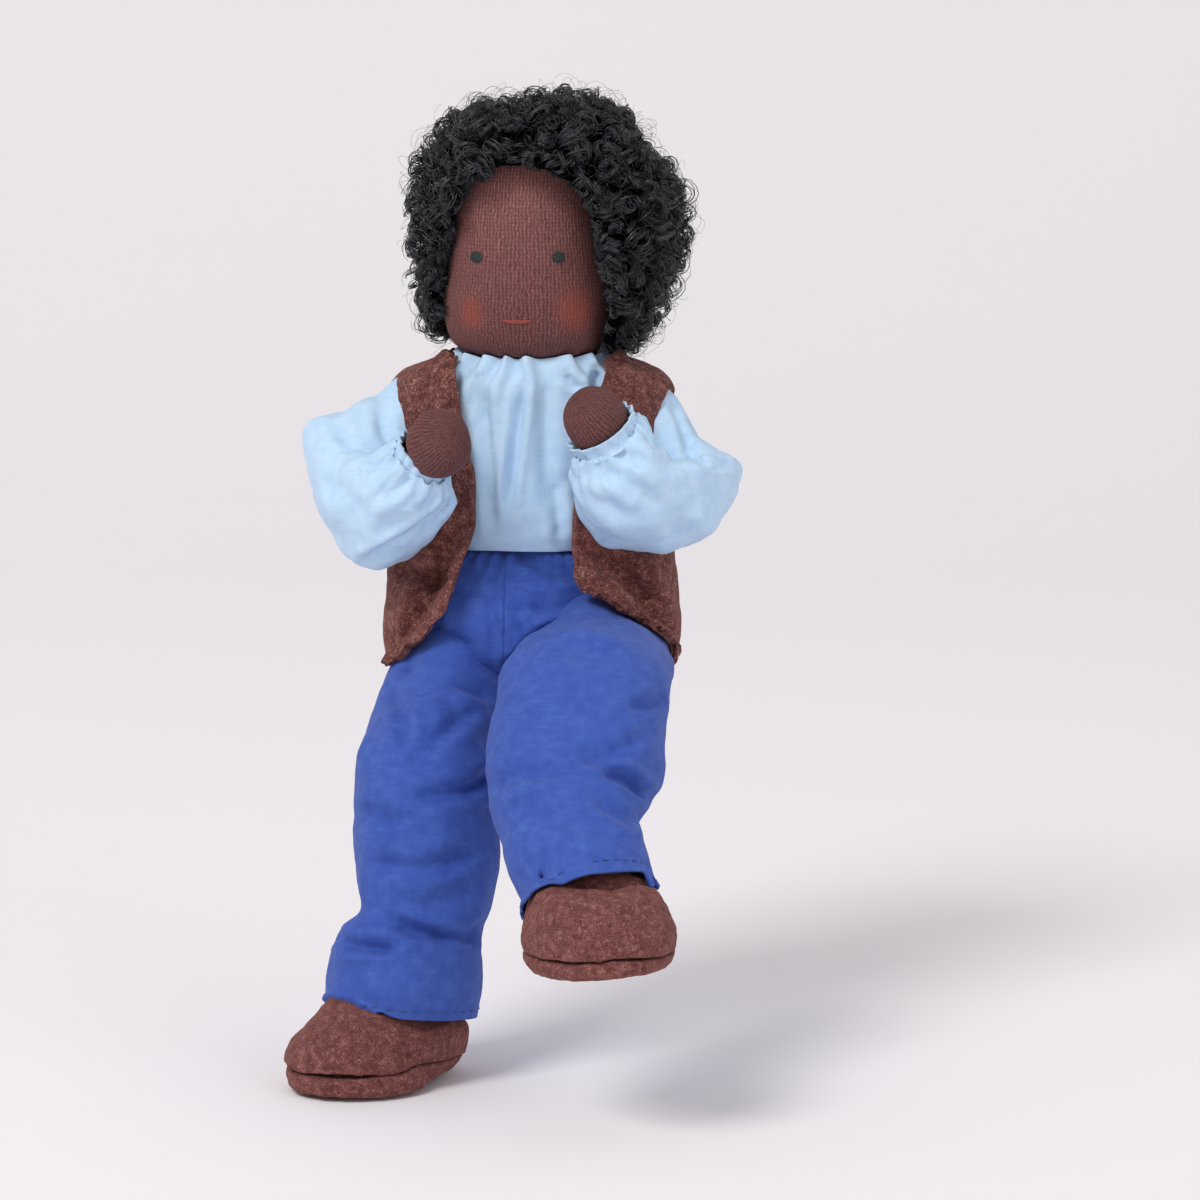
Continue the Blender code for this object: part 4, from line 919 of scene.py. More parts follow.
sleeves = {}
for side, sign in SIDES.items():
    rows = SLEEVE_ROWS[side]
    sleeve = wrap_cloth(
        f"{side}_sleeve_cloth", 72, 72,
        lambda u, v: tube_places(rows, BEND_NORMAL * (1, -sign, sign), u, v), (56.0, 46.0),
    )
    edit_all(
        sleeve, lambda: bpy.ops.mesh.select_all(action="DESELECT"), bpy.ops.mesh.select_non_manifold,
        lambda: bpy.ops.mesh.fill_holes(sides=0), lambda: bpy.ops.mesh.select_all(action="SELECT"),
        bpy.ops.mesh.normals_make_consistent,
    )
    remesh(sleeve, 0.5, 6)
    places = places_of(sleeve)
    wrist = np.array(rows[-1][:3])
    top = np.array(rows[0][:3])
    near_wrist = np.linalg.norm(places - wrist, axis=1)
    near_top = np.linalg.norm(places - top, axis=1)
    arm_axis = unit(wrist - np.array(rows[-2][:3]))
    across = unit(np.cross(arm_axis, (0.0, 0.0, 1.0)))
    other = np.cross(arm_axis, across)
    turn = np.arctan2((places - wrist) @ other, (places - wrist) @ across)
    wave = np.cos(turn * CUFF_GATHERS + 1.6 * np.sin(turn * 3))
    fade = np.clip(1 - (near_wrist - 3.5) / 8.0, 0, 1) ** 1.3
    put_places(sleeve, places + normals_of(sleeve) * (wave * fade * CUFF_DEPTH)[:, None])
    blow_up(sleeve, np.maximum(np.clip(2.4 - near_wrist / 3.0, 0, 1), np.clip(2.2 - near_top / 3.5, 0, 1)))
    places = places_of(sleeve)
    free = np.clip((np.linalg.norm(places - top, axis=1) - 5) / 5, 0, 1)
    free *= np.clip((np.linalg.norm(places - wrist, axis=1) - 4) / 4, 0, 1)
    fit_outline([sleeve], SLEEVE_OUTLINES[side], SLEEVE_MIDDLES[side], free)
    ripple(sleeve, 0.75, 4.6, 11 + sign)
    ripple(sleeve, 0.16, 1.5, 14 + sign)
    press_folds(sleeve, SLEEVE_FOLDS[side])
    apply_modifier(sleeve, "SMOOTH", factor=0.4, iterations=2)
    places = places_of(sleeve)
    past_wrist = ((places - wrist) @ arm_axis > -0.2) & (np.linalg.norm(places - wrist, axis=1) < 9)
    delete_places(sleeve, past_wrist | (np.linalg.norm(places - top, axis=1) < 4.5))
    finish_cloth(sleeve, shirt_cotton, SHIRT_THICKNESS)
    sleeves[side] = sleeve

# %% [markdown]
# The cloth beyond the wrist thread stands out in a small frill with a scalloped edge.

# %% Cuff frills
FRILL_SCALLOPS = 15
FRILL_DEPTH = 0.26
FRILL_THICKNESS = 0.3
FRILL_PROFILE = ((-1.6, 1.08), (-0.9, 1.0), (-0.2, 1.0), (0.4, 1.03), (0.9, 1.06))

frills = {}
for side, sign in SIDES.items():
    first, second = (np.array(row[:3]) for row in SLEEVE_ROWS[side][-2:])
    onward = unit(second - first)
    radius = SLEEVE_ROWS[side][-1][3]
    frill_rows = [
        (*(second + onward * reach), radius * widen, radius * widen) for reach, widen in FRILL_PROFILE
    ]

    def frill_places(u, v):
        places = tube_places(frill_rows, BEND_NORMAL * (1, -sign, sign), u, v)
        wave = np.cos(math.tau * u * FRILL_SCALLOPS + 1.4 * np.sin(math.tau * u * 2 + sign))
        out = places - (second + onward)
        out -= onward * (out @ onward)[:, None]
        out /= np.linalg.norm(out, axis=1, keepdims=True)
        grow = 0.25 + 0.75 * v
        stretch = onward * (wave * 0.1 * v ** 2)[:, None]
        return places + out * (wave * FRILL_DEPTH * grow)[:, None] + stretch

    frills[side] = wrap_cloth(f"{side}_cuff_frill", 180, 18, frill_places, (56.0, 4.0))
    finish_cloth(frills[side], shirt_cotton, FRILL_THICKNESS, 0)

# %% [markdown]
# ## Felt vest
# The vest is one piece of thick felt that wraps the chest and is cut away in front. The grid follows
# the front edges from the neck to the hem, so they stay smooth, and the armholes are cut out of the
# sides. The felt is thick enough to show its cut edge. Its mesh is parted just under the waist into an
# upper and a lower part.

# %% Felt vest
VEST_ROWS = (
    (0.3, -1.6, 1.6, 20.4, 14.5), (0.3, -1.4, 8.0, 20.4, 14.6), (0.3, -0.5, 15.0, 20.2, 13.8),
    (0.3, 0.1, 22.0, 19.9, 13.0), (0.3, 0.2, 31.0, 19.9, 12.7), (0.3, 0.2, 37.0, 20.1, 12.3),
    (0.3, 0.2, 40.6, 19.7, 11.5), (0.3, 0.2, 42.9, 18.0, 10.7), (0.3, 0.2, 44.4, 14.8, 10.0),
    (0.3, 0.2, 45.3, 11.4, 9.3),
)
VEST_POWER = 2.6
RIGHT_EDGE = (
    (1.6, -19.2), (2.9, -17.8), (5.6, -15.6), (8.9, -13.0), (11.5, -10.7), (17.4, -8.0), (23.2, -7.4),
    (30.3, -7.3), (35.9, -8.8), (44.0, -10.0), (46.0, -10.4),
)
LEFT_EDGE = (
    (1.6, 20.4), (3.0, 20.0), (5.7, 18.2), (8.9, 13.6), (12.1, 8.3), (15.6, 6.0), (21.3, 6.0),
    (30.3, 6.4), (37.0, 8.4), (44.0, 10.6), (46.0, 10.8),
)
FELT_THICKNESS = 1.1
VEST_CUT = 19.5
ARMHOLE_CENTRE = (-1.0, 31.5)
ARMHOLE_HALF_SIZES = (7.2, 9.8)
ARMHOLE_FROM = 13
VEST_GAPS = (1.2, 0.9)
VEST_FOLDS = (
    (((404, 566), (430, 582), (456, 574)), 9, 2.0), (((462, 470), (458, 530), (442, 590)), 8, 0.6),
    (((584, 500), (586, 560), (612, 592)), 8, 0.6), (((590, 552), (620, 572), (662, 604)), 10, 1.9),
    (((400, 440), (410, 480)), 9, 0.5), (((420, 600), (405, 630), (398, 655)), 8, 0.6),
    (((640, 600), (658, 625), (672, 650)), 7, 0.6),
)
VEST_EDGE_FOLDS = (
    (((470, 540), (456, 590), (430, 630), (404, 662)), 8, -1.3),
    (((446, 545), (434, 585), (414, 622)), 9, 0.7), (((425, 560), (412, 600), (400, 640)), 8, -0.9),
    (((582, 560), (592, 596), (615, 612), (648, 632), (672, 655)), 8, -1.3),
    (((606, 558), (628, 585), (656, 606)), 10, 0.7), (((640, 560), (660, 600), (672, 636)), 9, -1.1),
)


def vest_places(u, v):
    rows = along_table(VEST_ROWS, v)
    ends = []
    for table in (RIGHT_EDGE, LEFT_EDGE):
        heights, reaches = np.array(table).T
        across = np.abs(np.interp(rows[:, 2], heights, reaches) - rows[:, 0]) / rows[:, 3]
        ends.append(np.arccos(np.clip(across, 0, 0.999) ** (VEST_POWER / 2)))
    start = -ends[1]
    turn = start + (math.pi + ends[0] - start) * u
    cos, sin = np.cos(turn), np.sin(turn)
    return np.stack((
        rows[:, 0] + rows[:, 3] * np.sign(cos) * np.abs(cos) ** (2 / VEST_POWER),
        rows[:, 1] + rows[:, 4] * np.sign(sin) * np.abs(sin) ** (2 / VEST_POWER),
        rows[:, 2],
    ), axis=1)


vest = wrap_cloth("vest_felt_piece", 220, 130, vest_places, (95.0, 60.0))
x, y, z = places_of(vest).T
along_hole = (y - ARMHOLE_CENTRE[0]) / ARMHOLE_HALF_SIZES[0]
up_hole = (z - ARMHOLE_CENTRE[1]) / ARMHOLE_HALF_SIZES[1]
delete_places(vest, (along_hole ** 2 + up_hole ** 2 < 1) & (np.abs(x) > ARMHOLE_FROM))
ripple(vest, 0.9, 9.0, 21)
ripple(vest, 0.18, 2.0, 22)
ripple(vest, 0.07, 0.7, 23)
press_folds(vest, VEST_FOLDS)
drape(vest, cloth_surfaces, VEST_GAPS, 3)
press_folds(vest, VEST_EDGE_FOLDS)
finish_cloth(vest, vest_felt, FELT_THICKNESS, -0.4)
apply_modifier(
    vest, "BEVEL", width=0.28 * MM, segments=2, limit_method="ANGLE", angle_limit=math.radians(50)
)
vest_parts = {
    "upper": half_of(vest, "vest_upper_felt", (0, 0, -1), (0, 0, VEST_CUT), True),
    "lower": half_of(vest, "vest_lower_felt", (0, 0, 1), (0, 0, VEST_CUT), True),
}
bpy.data.objects.remove(vest)
for part in vest_parts.values():
    describe(part)

# %% [markdown]
# ## Knitted skin
# The head and the hands are covered in fine cotton jersey. Its stitches stand in upright columns,
# 0.57 mm apart, and each stitch is a small V. The columns are drawn from the cloth's own UV, which is
# in millimetres, so they run with the knit over the round head. The stitch relief also sets the colour:
# the grooves between the columns are painted darker as painted shade, and the ridges lighter as painted
# light. The face is painted lighter towards the crown and darker towards the chin, as painted light from
# above. The cheeks are rouged with wax.

# %% Knitted skin
WALE = 0.57
COURSE = 0.50
STITCH_DEPTH = 0.09


def knitted_jersey(name, rouge):
    made, tree, shader = new_material(name)
    place = add_node(tree, "ShaderNodeTexCoord").outputs
    in_mm = add_node(tree, VECTOR, {0: place["Object"], "Scale": 1 / MM}, operation="SCALE").outputs[0]
    cloth = add_node(tree, "ShaderNodeSeparateXYZ", {0: place["UV"]}).outputs
    waver = add_node(tree, NOISE, {"Vector": in_mm, "Scale": 0.9, "Detail": 2.0}).outputs["Fac"]
    sway = {0: waver, 1: 0.9, 2: cloth["X"]}
    across = add_node(tree, MATH, sway, operation="MULTIPLY_ADD").outputs[0]
    column = add_node(tree, MATH, {0: across, 1: 1 / WALE}, operation="MULTIPLY").outputs[0]
    ridge = add_node(tree, MATH, {0: column, 1: 0.5}, operation="PINGPONG").outputs[0]
    courses = {0: cloth["Y"], 1: 1 / COURSE, 2: ridge}
    row = add_node(tree, MATH, courses, operation="MULTIPLY_ADD").outputs[0]
    turned = add_node(tree, MATH, {0: row, 1: math.tau}, operation="MULTIPLY").outputs[0]
    stitch = add_node(tree, MATH, {0: turned}, operation="SINE").outputs[0]
    grain = {"Vector": in_mm, "Scale": 2.6, "Detail": 4.0, "Roughness": 0.75}
    speck = add_node(tree, NOISE, grain).outputs["Fac"]
    # Painted light: the colour gets lighter towards the crown and darker towards the chin.
    height_in_mm = add_node(tree, "ShaderNodeSeparateXYZ", {0: in_mm}).outputs["Z"]
    rise = {"Value": height_in_mm, 1: 44.0, 2: 74.0, 3: 0.25, 4: 0.75}
    painted_light_from_above = add_node(tree, MAP_RANGE, rise).outputs[0]
    # The stitch relief is also painted into the colour: painted shade in the grooves between the columns,
    # painted light on the ridges.
    relief_and_painted_groove_shade = stitch
    for share, base in ((STITCH_DEPTH, ridge), (0.7, speck)):
        relief_and_painted_groove_shade = add_node(tree, MATH, {0: relief_and_painted_groove_shade, 1: share, 2: base}, operation="MULTIPLY_ADD").outputs[0]
    shade = add_node(tree, MATH, {0: painted_light_from_above, 1: 0.6, 2: relief_and_painted_groove_shade}, operation="MULTIPLY_ADD").outputs[0]
    spread = add_node(tree, MATH, {0: shade, 1: 0.8, 2: -0.28}, operation="MULTIPLY_ADD").outputs[0]
    stops = ((0.12, "361B1B"), (0.42, "633B39"), (0.62, "82514E"), (0.88, "AC7A71"))
    tint = add_node(tree, RAMP, {"Fac": spread}, stops).outputs["Color"]
    for spot, radius in rouge:
        gap = add_node(tree, VECTOR, {0: in_mm, 1: spot}, operation="DISTANCE").outputs["Value"]
        edge = {"Value": gap, 1: radius * 0.2, 2: radius, 3: 0.36, 4: 0.0}
        wash = add_node(tree, MAP_RANGE, edge, interpolation_type="SMOOTHSTEP").outputs[0]
        blush = {"Factor": wash, "A": tint, "B": colour("A8452F")}
        tint = add_node(tree, "ShaderNodeMix", blush, data_type="RGBA").outputs["Result"]
    bump = add_node(tree, "ShaderNodeBump", {"Height": relief_and_painted_groove_shade, "Strength": 0.55, "Distance": 0.28 * MM})
    feed(tree, shader, {
        "Base Color": tint, "Normal": bump.outputs["Normal"], "Roughness": 0.9,
        "Sheen Weight": 0.2, "Sheen Roughness": 0.5, "Sheen Tint": colour("B07060"),
    })
    return made


skin_jersey = knitted_jersey("brown_knitted_hand", ())
print("jersey: columns", WALE, "mm and rows", COURSE, "mm apart,", len(skin_jersey.node_tree.nodes), "nodes")


# %% [markdown]
# ## Head
# The head is stuffed hard, a pear that is widest at the cheeks, under a tube of jersey that is tied at
# the crown. It is turned a little to the doll's right. The rows go from the neck to the crown.

# %% Head
NECK = joint_place("neck_turn")
HEAD_ROWS = np.array((
    (0.0, 0.02, 0.4, 0.3), (0.0, 0.0, 4.6, 4.4), (0.0, 0.0, 7.8, 7.5), (0.0, 0.9, 10.0, 9.6),
    (0.0, 2.6, 11.3, 10.8), (0.0, 5.4, 12.0, 11.4), (0.0, 9.0, 12.05, 11.5), (0.0, 13.0, 11.6, 11.2),
    (0.0, 17.2, 11.2, 11.0), (0.0, 21.2, 10.8, 10.6), (0.0, 25.2, 10.0, 9.8), (0.0, 28.8, 8.5, 8.4),
    (0.0, 31.6, 6.0, 6.0), (0.0, 33.4, 2.8, 2.8), (0.0, 33.9, 0.1, 0.1),
))
HEAD_TURN = -10.0
HEAD_LIFT = 1.3
turn_matrix = np.array(Matrix.Rotation(math.radians(HEAD_TURN), 3, "Z"))


def head_places(u, v):
    rows = along_table(HEAD_ROWS, v)
    angle = math.tau * u
    flat = np.stack((rows[:, 2] * np.cos(angle), rows[:, 3] * np.sin(angle), rows[:, 1] + HEAD_LIFT), axis=1)
    return NECK + flat @ turn_matrix.T


def face_place(x, z, lift):
    """The place on the face that shows at x and z, lifted off the skin."""
    _, spot, normal, _ = head.ray_cast(Vector((x, -60, z)) * MM, Vector((0, 1, 0)))
    return np.array(spot) / MM + np.array(normal) * lift


head = wrap_cloth("head_jersey", 198, 150, head_places, (75.24, 54.0))
ripple(head, 0.16, 4.0, 31)
RIGHT_CHEEK = (-8.5, -8.8, 52.0)
LEFT_CHEEK = (6.7, -10.0, 52.6)
head.data.materials.append(knitted_jersey("brown_knitted_face", ((RIGHT_CHEEK, 3.6), (LEFT_CHEEK, 4.6))))
describe(head)

# %% [markdown]
# ## Eyes and mouth
# The features are embroidered: each eye is a round dot of satin stitches in dull green-grey floss, and
# the mouth is a short double stitch in red floss.

# %% Eyes and mouth
def floss(name, shades):
    made, tree, shader = new_material(name)
    place = add_node(tree, "ShaderNodeTexCoord").outputs["Object"]
    twist = {"Vector": place, "Scale": 2.5 / MM, "Detail": 3.0, "Roughness": 0.7}
    grain = add_node(tree, NOISE, twist).outputs["Fac"]
    tint = add_node(tree, RAMP, {"Fac": grain}, tuple(zip((0.3, 0.7), shades))).outputs["Color"]
    bump = add_node(tree, "ShaderNodeBump", {"Height": grain, "Strength": 0.5, "Distance": 0.1 * MM})
    feed(tree, shader, {"Base Color": tint, "Normal": bump.outputs["Normal"], "Roughness": 0.7})
    return made


def strand_mesh(name, strands, sides):
    """Round threads through points: each strand is (points in mm, radii in mm), closed at its ends."""
    verts, quads, ends, start = [], [], [], 0
    guide = np.array((0.31, 0.52, 0.79))
    turns = math.tau * np.arange(sides) / sides
    for points, radii in strands:
        points = np.asarray(points, float)
        count = len(points)
        ahead = np.gradient(points, axis=0)
        side = np.cross(ahead, guide)
        side /= np.linalg.norm(side, axis=1, keepdims=True) + 1e-12
        up = np.cross(side, ahead)
        up /= np.linalg.norm(up, axis=1, keepdims=True) + 1e-12
        ring = np.cos(turns)[:, None, None] * side + np.sin(turns)[:, None, None] * up
        verts.append((points + ring * np.asarray(radii)[:, None]).reshape(-1, 3))
        corner = start + np.arange(sides)[:, None] * count + np.arange(count - 1)
        after = np.roll(corner, -1, axis=0)
        quads.append(np.stack((corner, corner + 1, after + 1, after), axis=-1).reshape(-1, 4))
        first = start + np.arange(sides) * count
        ends += [first.tolist(), (first + count - 1)[::-1].tolist()]
        start += sides * count
    mesh = bpy.data.meshes.new(name)
    mesh.from_pydata((np.concatenate(verts) * MM).tolist(), [], np.concatenate(quads).tolist() + ends)
    mesh.shade_smooth()
    piece = bpy.data.objects.new(name, mesh)
    bpy.context.scene.collection.objects.link(piece)
    return piece


EYE_PLACES = {"right": (-7.2, 59.9), "left": (4.2, 60.0)}
EYE_RADIUS = 0.86
eye_floss = floss("grey_green_eye_floss", ("191B1C", "3C4443"))
mouth_floss = floss("red_mouth_floss", ("7A302B", "A44B42"))
eyes = {}
for side, (x, z) in EYE_PLACES.items():
    stitches = []
    for step in np.linspace(-0.85, 0.85, 7):
        reach = EYE_RADIUS * math.sqrt(1 - step * step)
        line = []
        for share in np.linspace(-1, 1, 7):
            dome = 0.16 * (1 - step * step * 0.6) * (1 - share * share * 0.9)
            line.append(face_place(x + step * EYE_RADIUS, z + share * reach, dome))
        stitches.append((line, [0.07, 0.13, 0.15, 0.16, 0.15, 0.13, 0.07]))
    eye = strand_mesh(f"{side}_eye_stitches", stitches, 8)
    eye.data.materials.append(eye_floss)
    eyes[side] = eye
    describe(eye)

MOUTH_ENDS = (-3.7, 0.6)
MOUTH_HEIGHT = 51.2
lips = []
for offset, sag in ((0.1, 0.12), (-0.12, 0.18)):
    line = []
    for share in np.linspace(0, 1, 15):
        x = MOUTH_ENDS[0] + (MOUTH_ENDS[1] - MOUTH_ENDS[0]) * share
        bow = 4 * share * (1 - share)
        line.append(face_place(x, MOUTH_HEIGHT + offset * bow - sag * bow, 0.03))
    lips.append((line, np.interp(np.linspace(0, 1, 15), (0, 0.15, 0.85, 1), (0.06, 0.15, 0.15, 0.06))))
mouth = strand_mesh("mouth_stitches", lips, 8)
mouth.data.materials.append(mouth_floss)
describe(mouth)

# %% [markdown]
# ## Hands
# Each hand is a small ball of jersey over wool, tied at the wrist. Its columns of stitches run from
# the wrist over the fist.

# %% Hands
HAND_SHIFTS = {"right": (-0.6, 0.0, -1.2), "left": (-0.7, 0.2, 0.6)}
HAND_HALF_LENGTH = 4.75
HAND_HALF_WIDTH = 4.3
HAND_PROFILE = (
    (-1.35, 0.50), (-1.1, 0.52), (-0.85, 0.66), (-0.55, 0.86), (-0.2, 0.98), (0.15, 1.0),
    (0.45, 0.9), (0.7, 0.72), (0.88, 0.47), (0.97, 0.22), (1.0, 0.02),
)

hands = {}
for side, sign in SIDES.items():
    low, high = (np.array(corner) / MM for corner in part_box(f"{side}_hand"))
    middle = (low + high) / 2 + HAND_SHIFTS[side]
    axis = unit(middle - joint_place(f"{side}_wrist"))
    hand_rows = [
        (*(middle + axis * share * HAND_HALF_LENGTH), HAND_HALF_WIDTH * widen, HAND_HALF_LENGTH * widen)
        for share, widen in HAND_PROFILE
    ]
    hand = wrap_cloth(
        f"{side}_hand_jersey", 96, 72, lambda u, v: tube_places(hand_rows, ACROSS, u, v), (27.36, 17.0)
    )
    ripple(hand, 0.3, 3.5, 40 + sign)
    hand.data.materials.append(skin_jersey)
    hands[side] = hand
    describe(hand)

# %% [markdown]
# ## Hair
# The wig is bouclé mohair: hundreds of small wiry ringlets that spring out every way. A dark lumpy
# cap lies underneath, and each ringlet is a helix of a few fibres that starts on the cap and curls
# over it. The cap is fitted inside the wig's outline and kept off the face.

# %% Cap under the hair
matt_black, tree, shader = new_material("black_mohair_ground")
feed(tree, shader, {"Base Color": colour("08080A"), "Roughness": 1.0, "Specular IOR Level": 0.0})

HAIR_OUTLINE = (
    (444, 354), (433, 345), (427, 323), (422, 303), (413, 285), (415, 266), (408, 250), (414, 228),
    (411, 208), (413, 187), (413, 171), (422, 147), (437, 122), (470, 104), (488, 97), (522, 96),
    (551, 88), (575, 90), (601, 92), (624, 107), (640, 131), (662, 156), (680, 175), (688, 190),
    (688, 210), (692, 234), (686, 252), (681, 273), (668, 299), (660, 323), (650, 344), (636, 356),
)
HAIR_CENTRE = (552, 225)
FACE_OUTLINE = (
    (520, 366), (480, 358), (462, 348), (453, 336), (447, 323), (444, 308), (444, 291), (445, 270),
    (449, 249), (452, 228), (453, 207), (459, 195), (468, 182), (483, 174), (500, 163), (546, 166),
    (563, 175), (575, 184), (586, 193), (590, 205), (595, 220), (600, 243), (605, 264), (610, 283),
    (613, 298), (615, 313), (611, 329), (608, 345), (580, 358), (520, 366),
)
FACE_CENTRE = (528, 262)
FACE_MARGIN = 2
PIXELS_PER_MM = 7.3
CURL_DEPTH = 12.0
CAP_INSET = 0.7


def reach_at(offsets, outline, middle):
    """How far an outline lies from its middle, in the direction of each offset."""
    line = np.array(outline, float) - middle
    angle = np.arctan2(line[:, 1], line[:, 0])
    order = np.argsort(angle)
    return np.interp(
        np.arctan2(offsets[:, 1], offsets[:, 0]), angle[order], np.hypot(*line.T)[order], period=math.tau
    )


cap = copy_solid("hair_cap", nodes["hair"])
remesh(cap, 0.7, 4)
fit_outline([cap], HAIR_OUTLINE, HAIR_CENTRE, inset=CURL_DEPTH)
cap_places = places_of(cap)
face_offset = in_picture(cap_places) - FACE_CENTRE
in_front = np.clip(-cap_places[:, 1] / 3, 0, 1)
away = np.hypot(*face_offset.T)
short = np.maximum(reach_at(face_offset, FACE_OUTLINE, FACE_CENTRE) + FACE_MARGIN - away, 0) * in_front
face_move = face_offset / np.maximum(away, 1)[:, None] * (short / PIXELS_PER_MM)[:, None]
cap_places += face_move[:, :1] * (1, 0, 0) - face_move[:, 1:] * (0, 0, 1)
put_places(cap, cap_places)
areas = np.array([polygon.area for polygon in cap.data.polygons])
centres = np.array([polygon.center for polygon in cap.data.polygons]) / MM
outward = np.array([polygon.normal for polygon in cap.data.polygons])
put_places(cap, cap_places - normals_of(cap) * CAP_INSET)
ripple(cap, 0.6, 2.2, 51)
cap.data.materials.append(matt_black)
describe(cap)

# %% [markdown]
# The locks start at random places of the cap, as many as each part has area. None starts over the
# face, on the side towards the head or inside the skin.

# %% Where the locks start
HEAD_HALF_SIZES = (12.0, 11.5)
HEAD_MARGIN = 1.02
FACE_GAP = 3
SKIN_GAP = 0.3

wig_middle = cap_places.mean(axis=0)
from_head = np.hypot(
    (centres[:, 0] - NECK[0]) / HEAD_HALF_SIZES[0], (centres[:, 1] - NECK[1]) / HEAD_HALF_SIZES[1]
)
faces_in = ((centres - wig_middle) * outward).sum(axis=1) < 0
face_offset = in_picture(centres) - FACE_CENTRE
face_gap = np.hypot(*face_offset.T) - reach_at(face_offset, FACE_OUTLINE, FACE_CENTRE)
over_face = (centres[:, 1] < 0) & (face_gap < FACE_GAP)
skin = surface_of(head)


def above_skin(place):
    spot, normal, _, _ = skin.find_nearest(place)
    return (Vector(place) - spot).dot(normal)


height = np.array([above_skin(place) for place in centres])
bare = faces_in & (from_head < HEAD_MARGIN) | over_face | (height < SKIN_GAP)
chance = np.where(bare, 0, areas)
chance = chance.cumsum() / chance.sum()
print("faces of the cap with locks:", int((~bare).sum()), "of", len(bare))

# %% [markdown]
# Most locks are tight ringlets. Some stand out as open loops, small ones edge the face, and loose
# fibres make a haze at the outline.

# %% Locks
RINGLETS = 1250
LOOPS = 46
RIM_LOCKS = 190
RIM_REACH = 17
RIM_SKIN_GAP = 0.7
RINGLET_PIECES = 6
HAZE = 1500
dice = random.Random(7)
frizz = np.random.default_rng(7)

mohair, tree, shader = new_material("black_mohair_fibre")
place = add_node(tree, "ShaderNodeTexCoord").outputs["Object"]
# Random 2 mm patches of the black fibres are lightened to grey-blue: painted glints.
tone_and_painted_glints = add_node(tree, NOISE, {"Vector": place, "Scale": 0.5 / MM, "Detail": 2.0}).outputs["Fac"]
tint = add_node(tree, RAMP, {"Fac": tone_and_painted_glints}, ((0.38, "050506"), (0.66, "2B2E37"))).outputs["Color"]
feed(tree, shader, {
    "Base Color": tint, "Roughness": 0.3, "Specular IOR Level": 0.8,
    "Sheen Weight": 0.1, "Sheen Tint": colour("7C8090"),
})


def ringlet(root, normal, radius, turns, pitch, lean, fibre, strands):
    """A lock of a few fibres that curls round an axis. It lies on the wig as far as lean lets it."""
    tangent = Vector(normal).orthogonal().normalized()
    tangent.rotate(Matrix.Rotation(dice.uniform(0, math.tau), 3, Vector(normal)))
    axis = (tangent * (1 - lean) + Vector(normal) * lean).normalized()
    side = axis.cross(Vector(normal)).normalized()
    up = side.cross(axis)
    axis, side, up = np.array(axis), np.array(side), np.array(up)
    count = int(9 * turns) + 4
    phase = dice.uniform(0, math.tau)
    made = []
    for _ in range(strands):
        angle = np.linspace(0, math.tau * turns, count) + phase + dice.uniform(-0.4, 0.4)
        grow = radius * (1 + dice.uniform(-0.2, 0.2)) * np.linspace(1.05, dice.uniform(0.6, 1.1), count)
        along = np.linspace(-0.5, 0.5, count) * pitch * turns + dice.uniform(-0.25, 0.25)
        wander = np.cumsum(frizz.normal(0, 0.05, (count, 3)), axis=0)
        points = (
            root + np.outer(along, axis) + side * (grow * np.cos(angle))[:, None]
            + up * (grow * np.sin(angle) + radius * 0.4)[:, None] + wander
        )
        radii = fibre * np.interp(np.linspace(0, 1, count), (0, 0.1, 0.85, 1), (0.6, 1, 0.9, 0.3))
        made.append((points, radii))
    return made


locks = []
for number in range(RINGLETS + LOOPS):
    pick = int(np.searchsorted(chance, dice.random()))
    loop = number >= RINGLETS
    radius = dice.uniform(1.2, 1.9) if loop else 0.6 + 1.1 * dice.random() ** 1.5
    lift = dice.uniform(0.5, 1.2) if loop else dice.uniform(-0.7, 0.5)
    locks.append(ringlet(
        centres[pick] + outward[pick] * lift, outward[pick], radius, dice.uniform(1.0, 1.3) if loop
        else dice.uniform(0.8, 2.2), dice.uniform(0.5, 1.8), dice.uniform(0.0, 0.7),
        dice.uniform(0.06, 0.1) if loop else dice.uniform(0.055, 0.095), 4 if loop else 6,
    ))
rim = (centres[:, 1] < 0) & (face_gap > -1) & (face_gap < RIM_REACH) & (height > RIM_SKIN_GAP)
rim_chance = np.where(rim, areas, 0).cumsum()
rim_chance /= rim_chance[-1]
for _ in range(RIM_LOCKS):
    pick = int(np.searchsorted(rim_chance, dice.random()))
    locks.append(ringlet(
        centres[pick] + outward[pick] * dice.uniform(-0.2, 0.3), outward[pick], dice.uniform(0.4, 0.8),
        dice.uniform(1.0, 2.2), dice.uniform(0.5, 1.4), dice.uniform(0.0, 0.4), dice.uniform(0.05, 0.085), 6,
    ))
hair_pieces = []
share = -(-len(locks) // RINGLET_PIECES)
for number in range(RINGLET_PIECES):
    strands = [strand for lock in locks[number * share:(number + 1) * share] for strand in lock]
    piece = strand_mesh(f"hair_ringlets_{number + 1}", strands, 3)
    piece.data.materials.append(mohair)
    hair_pieces.append(piece)
haze = []
for _ in range(HAZE):
    pick = int(np.searchsorted(chance, dice.random()))
    haze += ringlet(
        centres[pick] + outward[pick] * dice.uniform(0.4, 1.5), outward[pick], dice.uniform(0.8, 2.2),
        dice.uniform(0.4, 0.9), dice.uniform(0.5, 2.0), dice.uniform(0.0, 0.9), dice.uniform(0.018, 0.035), 1,
    )
fuzz = strand_mesh("hair_loose_fibres", haze, 3)
fuzz.data.materials.append(mohair)
hair_pieces.append(fuzz)
for piece in hair_pieces:
    describe(piece)

# %% [markdown]
# ## Hem stitches
# The trouser hems are sewn with blue thread about 2 mm above the edge. The stitches are short dashes
# that follow the cloth.

# %% Hem stitches
HEM_STITCHES = 34
HEM_PLACE = 0.965
STITCH_LENGTH = 0.016
STITCH_LIFT = 0.06
STITCH_RADII = [0.04, 0.1, 0.11, 0.1, 0.04]

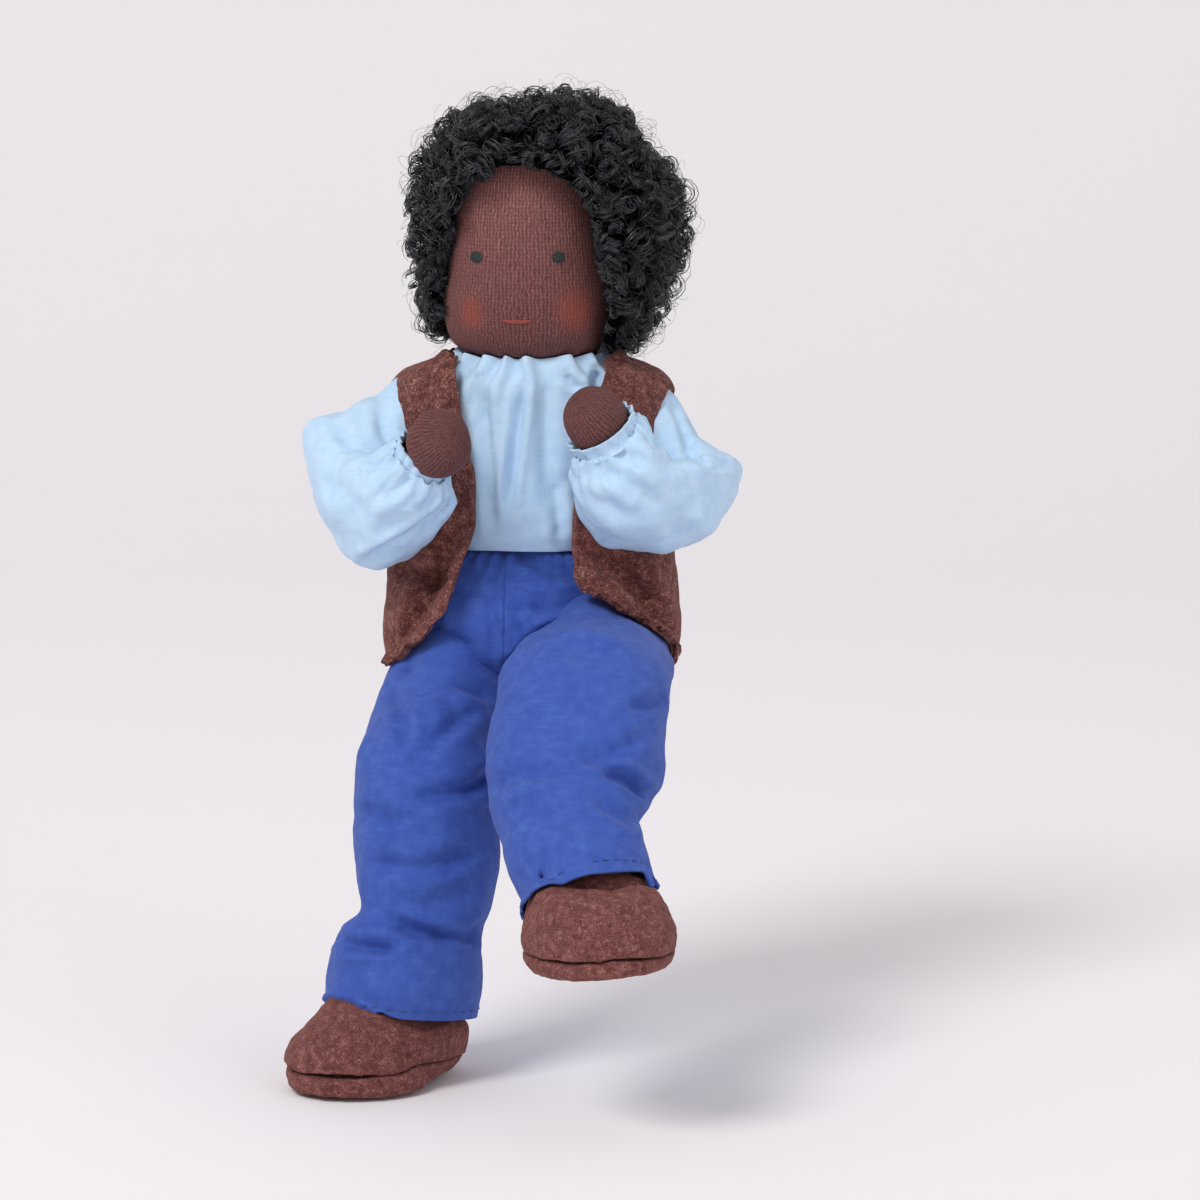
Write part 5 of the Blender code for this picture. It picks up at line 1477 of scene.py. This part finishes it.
hem_floss = floss("blue_hem_thread", ("24356F", "4A62AE"))
hems = {}
for side in SIDES:
    stitches = []
    for start in np.linspace(0, 1, HEM_STITCHES, endpoint=False):
        line = []
        for place in leg_places(side, start + np.linspace(0, STITCH_LENGTH, 5), np.full(5, HEM_PLACE)):
            _, spot, normal, _ = trouser_legs[side].closest_point_on_mesh(Vector(place) * MM)
            line.append(np.array(spot) / MM + np.array(normal) * STITCH_LIFT)
        stitches.append((line, STITCH_RADII))
    hem = strand_mesh(f"{side}_hem_stitches", stitches, 6)
    hem.data.materials.append(hem_floss)
    hems[side] = hem
    describe(hem)

# %% [markdown]
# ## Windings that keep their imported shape
# The windings and the wound bends of the wire are inside the limbs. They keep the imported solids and
# only get their own finish.

# %% Finish of the windings
winding_cloth = floss("cotton_winding", ("1F2440", "3A4270"))
wound = [solid for name, solid in nodes.items() if name.endswith(("_winding", "_bend"))]
for solid in wound:
    solid.data.materials.clear()
    solid.data.materials.append(winding_cloth)
print("windings and bends:", len(wound))

# %% [markdown]
# ## Hand the pieces over
# The hems, frills, hands, shoes and the pieces of the head follow the body under them. The other cloth
# keeps its place, and the imported solids that the new pieces replace are hidden.

for side, sign in SIDES.items():
    hip, knee, ankle = joint_places(side, "hip_swing", "knee", "ankle")
    shoulder, elbow, wrist = joint_places(side, "shoulder_swing", "elbow", "wrist")
    leg = trouser_legs[side]
    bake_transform(leg)
    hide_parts(f"{side}_trouser_leg")
    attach(hems[side], f"{side}_shin")
    half = seat_halves[side]
    inner = np.array((sign * 2.0, -6.0, 12.0))
    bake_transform(half)
    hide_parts("trouser_seat")
    sleeve = sleeves[side]
    onward = unit(unit(wrist - elbow) + unit(elbow - shoulder))
    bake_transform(sleeve)
    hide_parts(f"{side}_sleeve", f"{side}_cuff_thread")
    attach(frills[side], f"{side}_forearm")
    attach(hands[side], f"{side}_hand")
    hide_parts(f"{side}_hand")
    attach(eyes[side], "head")
    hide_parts(f"{side}_eye")
    for part in SHOE_PARTS:
        shoe = shoes[side, part]
        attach(shoe, f"{side}_foot")
        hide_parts(f"{side}_{part}")

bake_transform(shirt)
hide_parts("shirt_body", "neckline_thread")
upper_vest, lower_vest = vest_parts["upper"], vest_parts["lower"]
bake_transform(upper_vest)
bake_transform(lower_vest)
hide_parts("vest")
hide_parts("vest")
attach(head, "head")
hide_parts("head_skin")
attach(mouth, "head")
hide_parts("mouth_stitch")
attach(cap, "head")
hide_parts("hair")
for piece in hair_pieces:
    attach(piece, "head")
    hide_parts("hair")
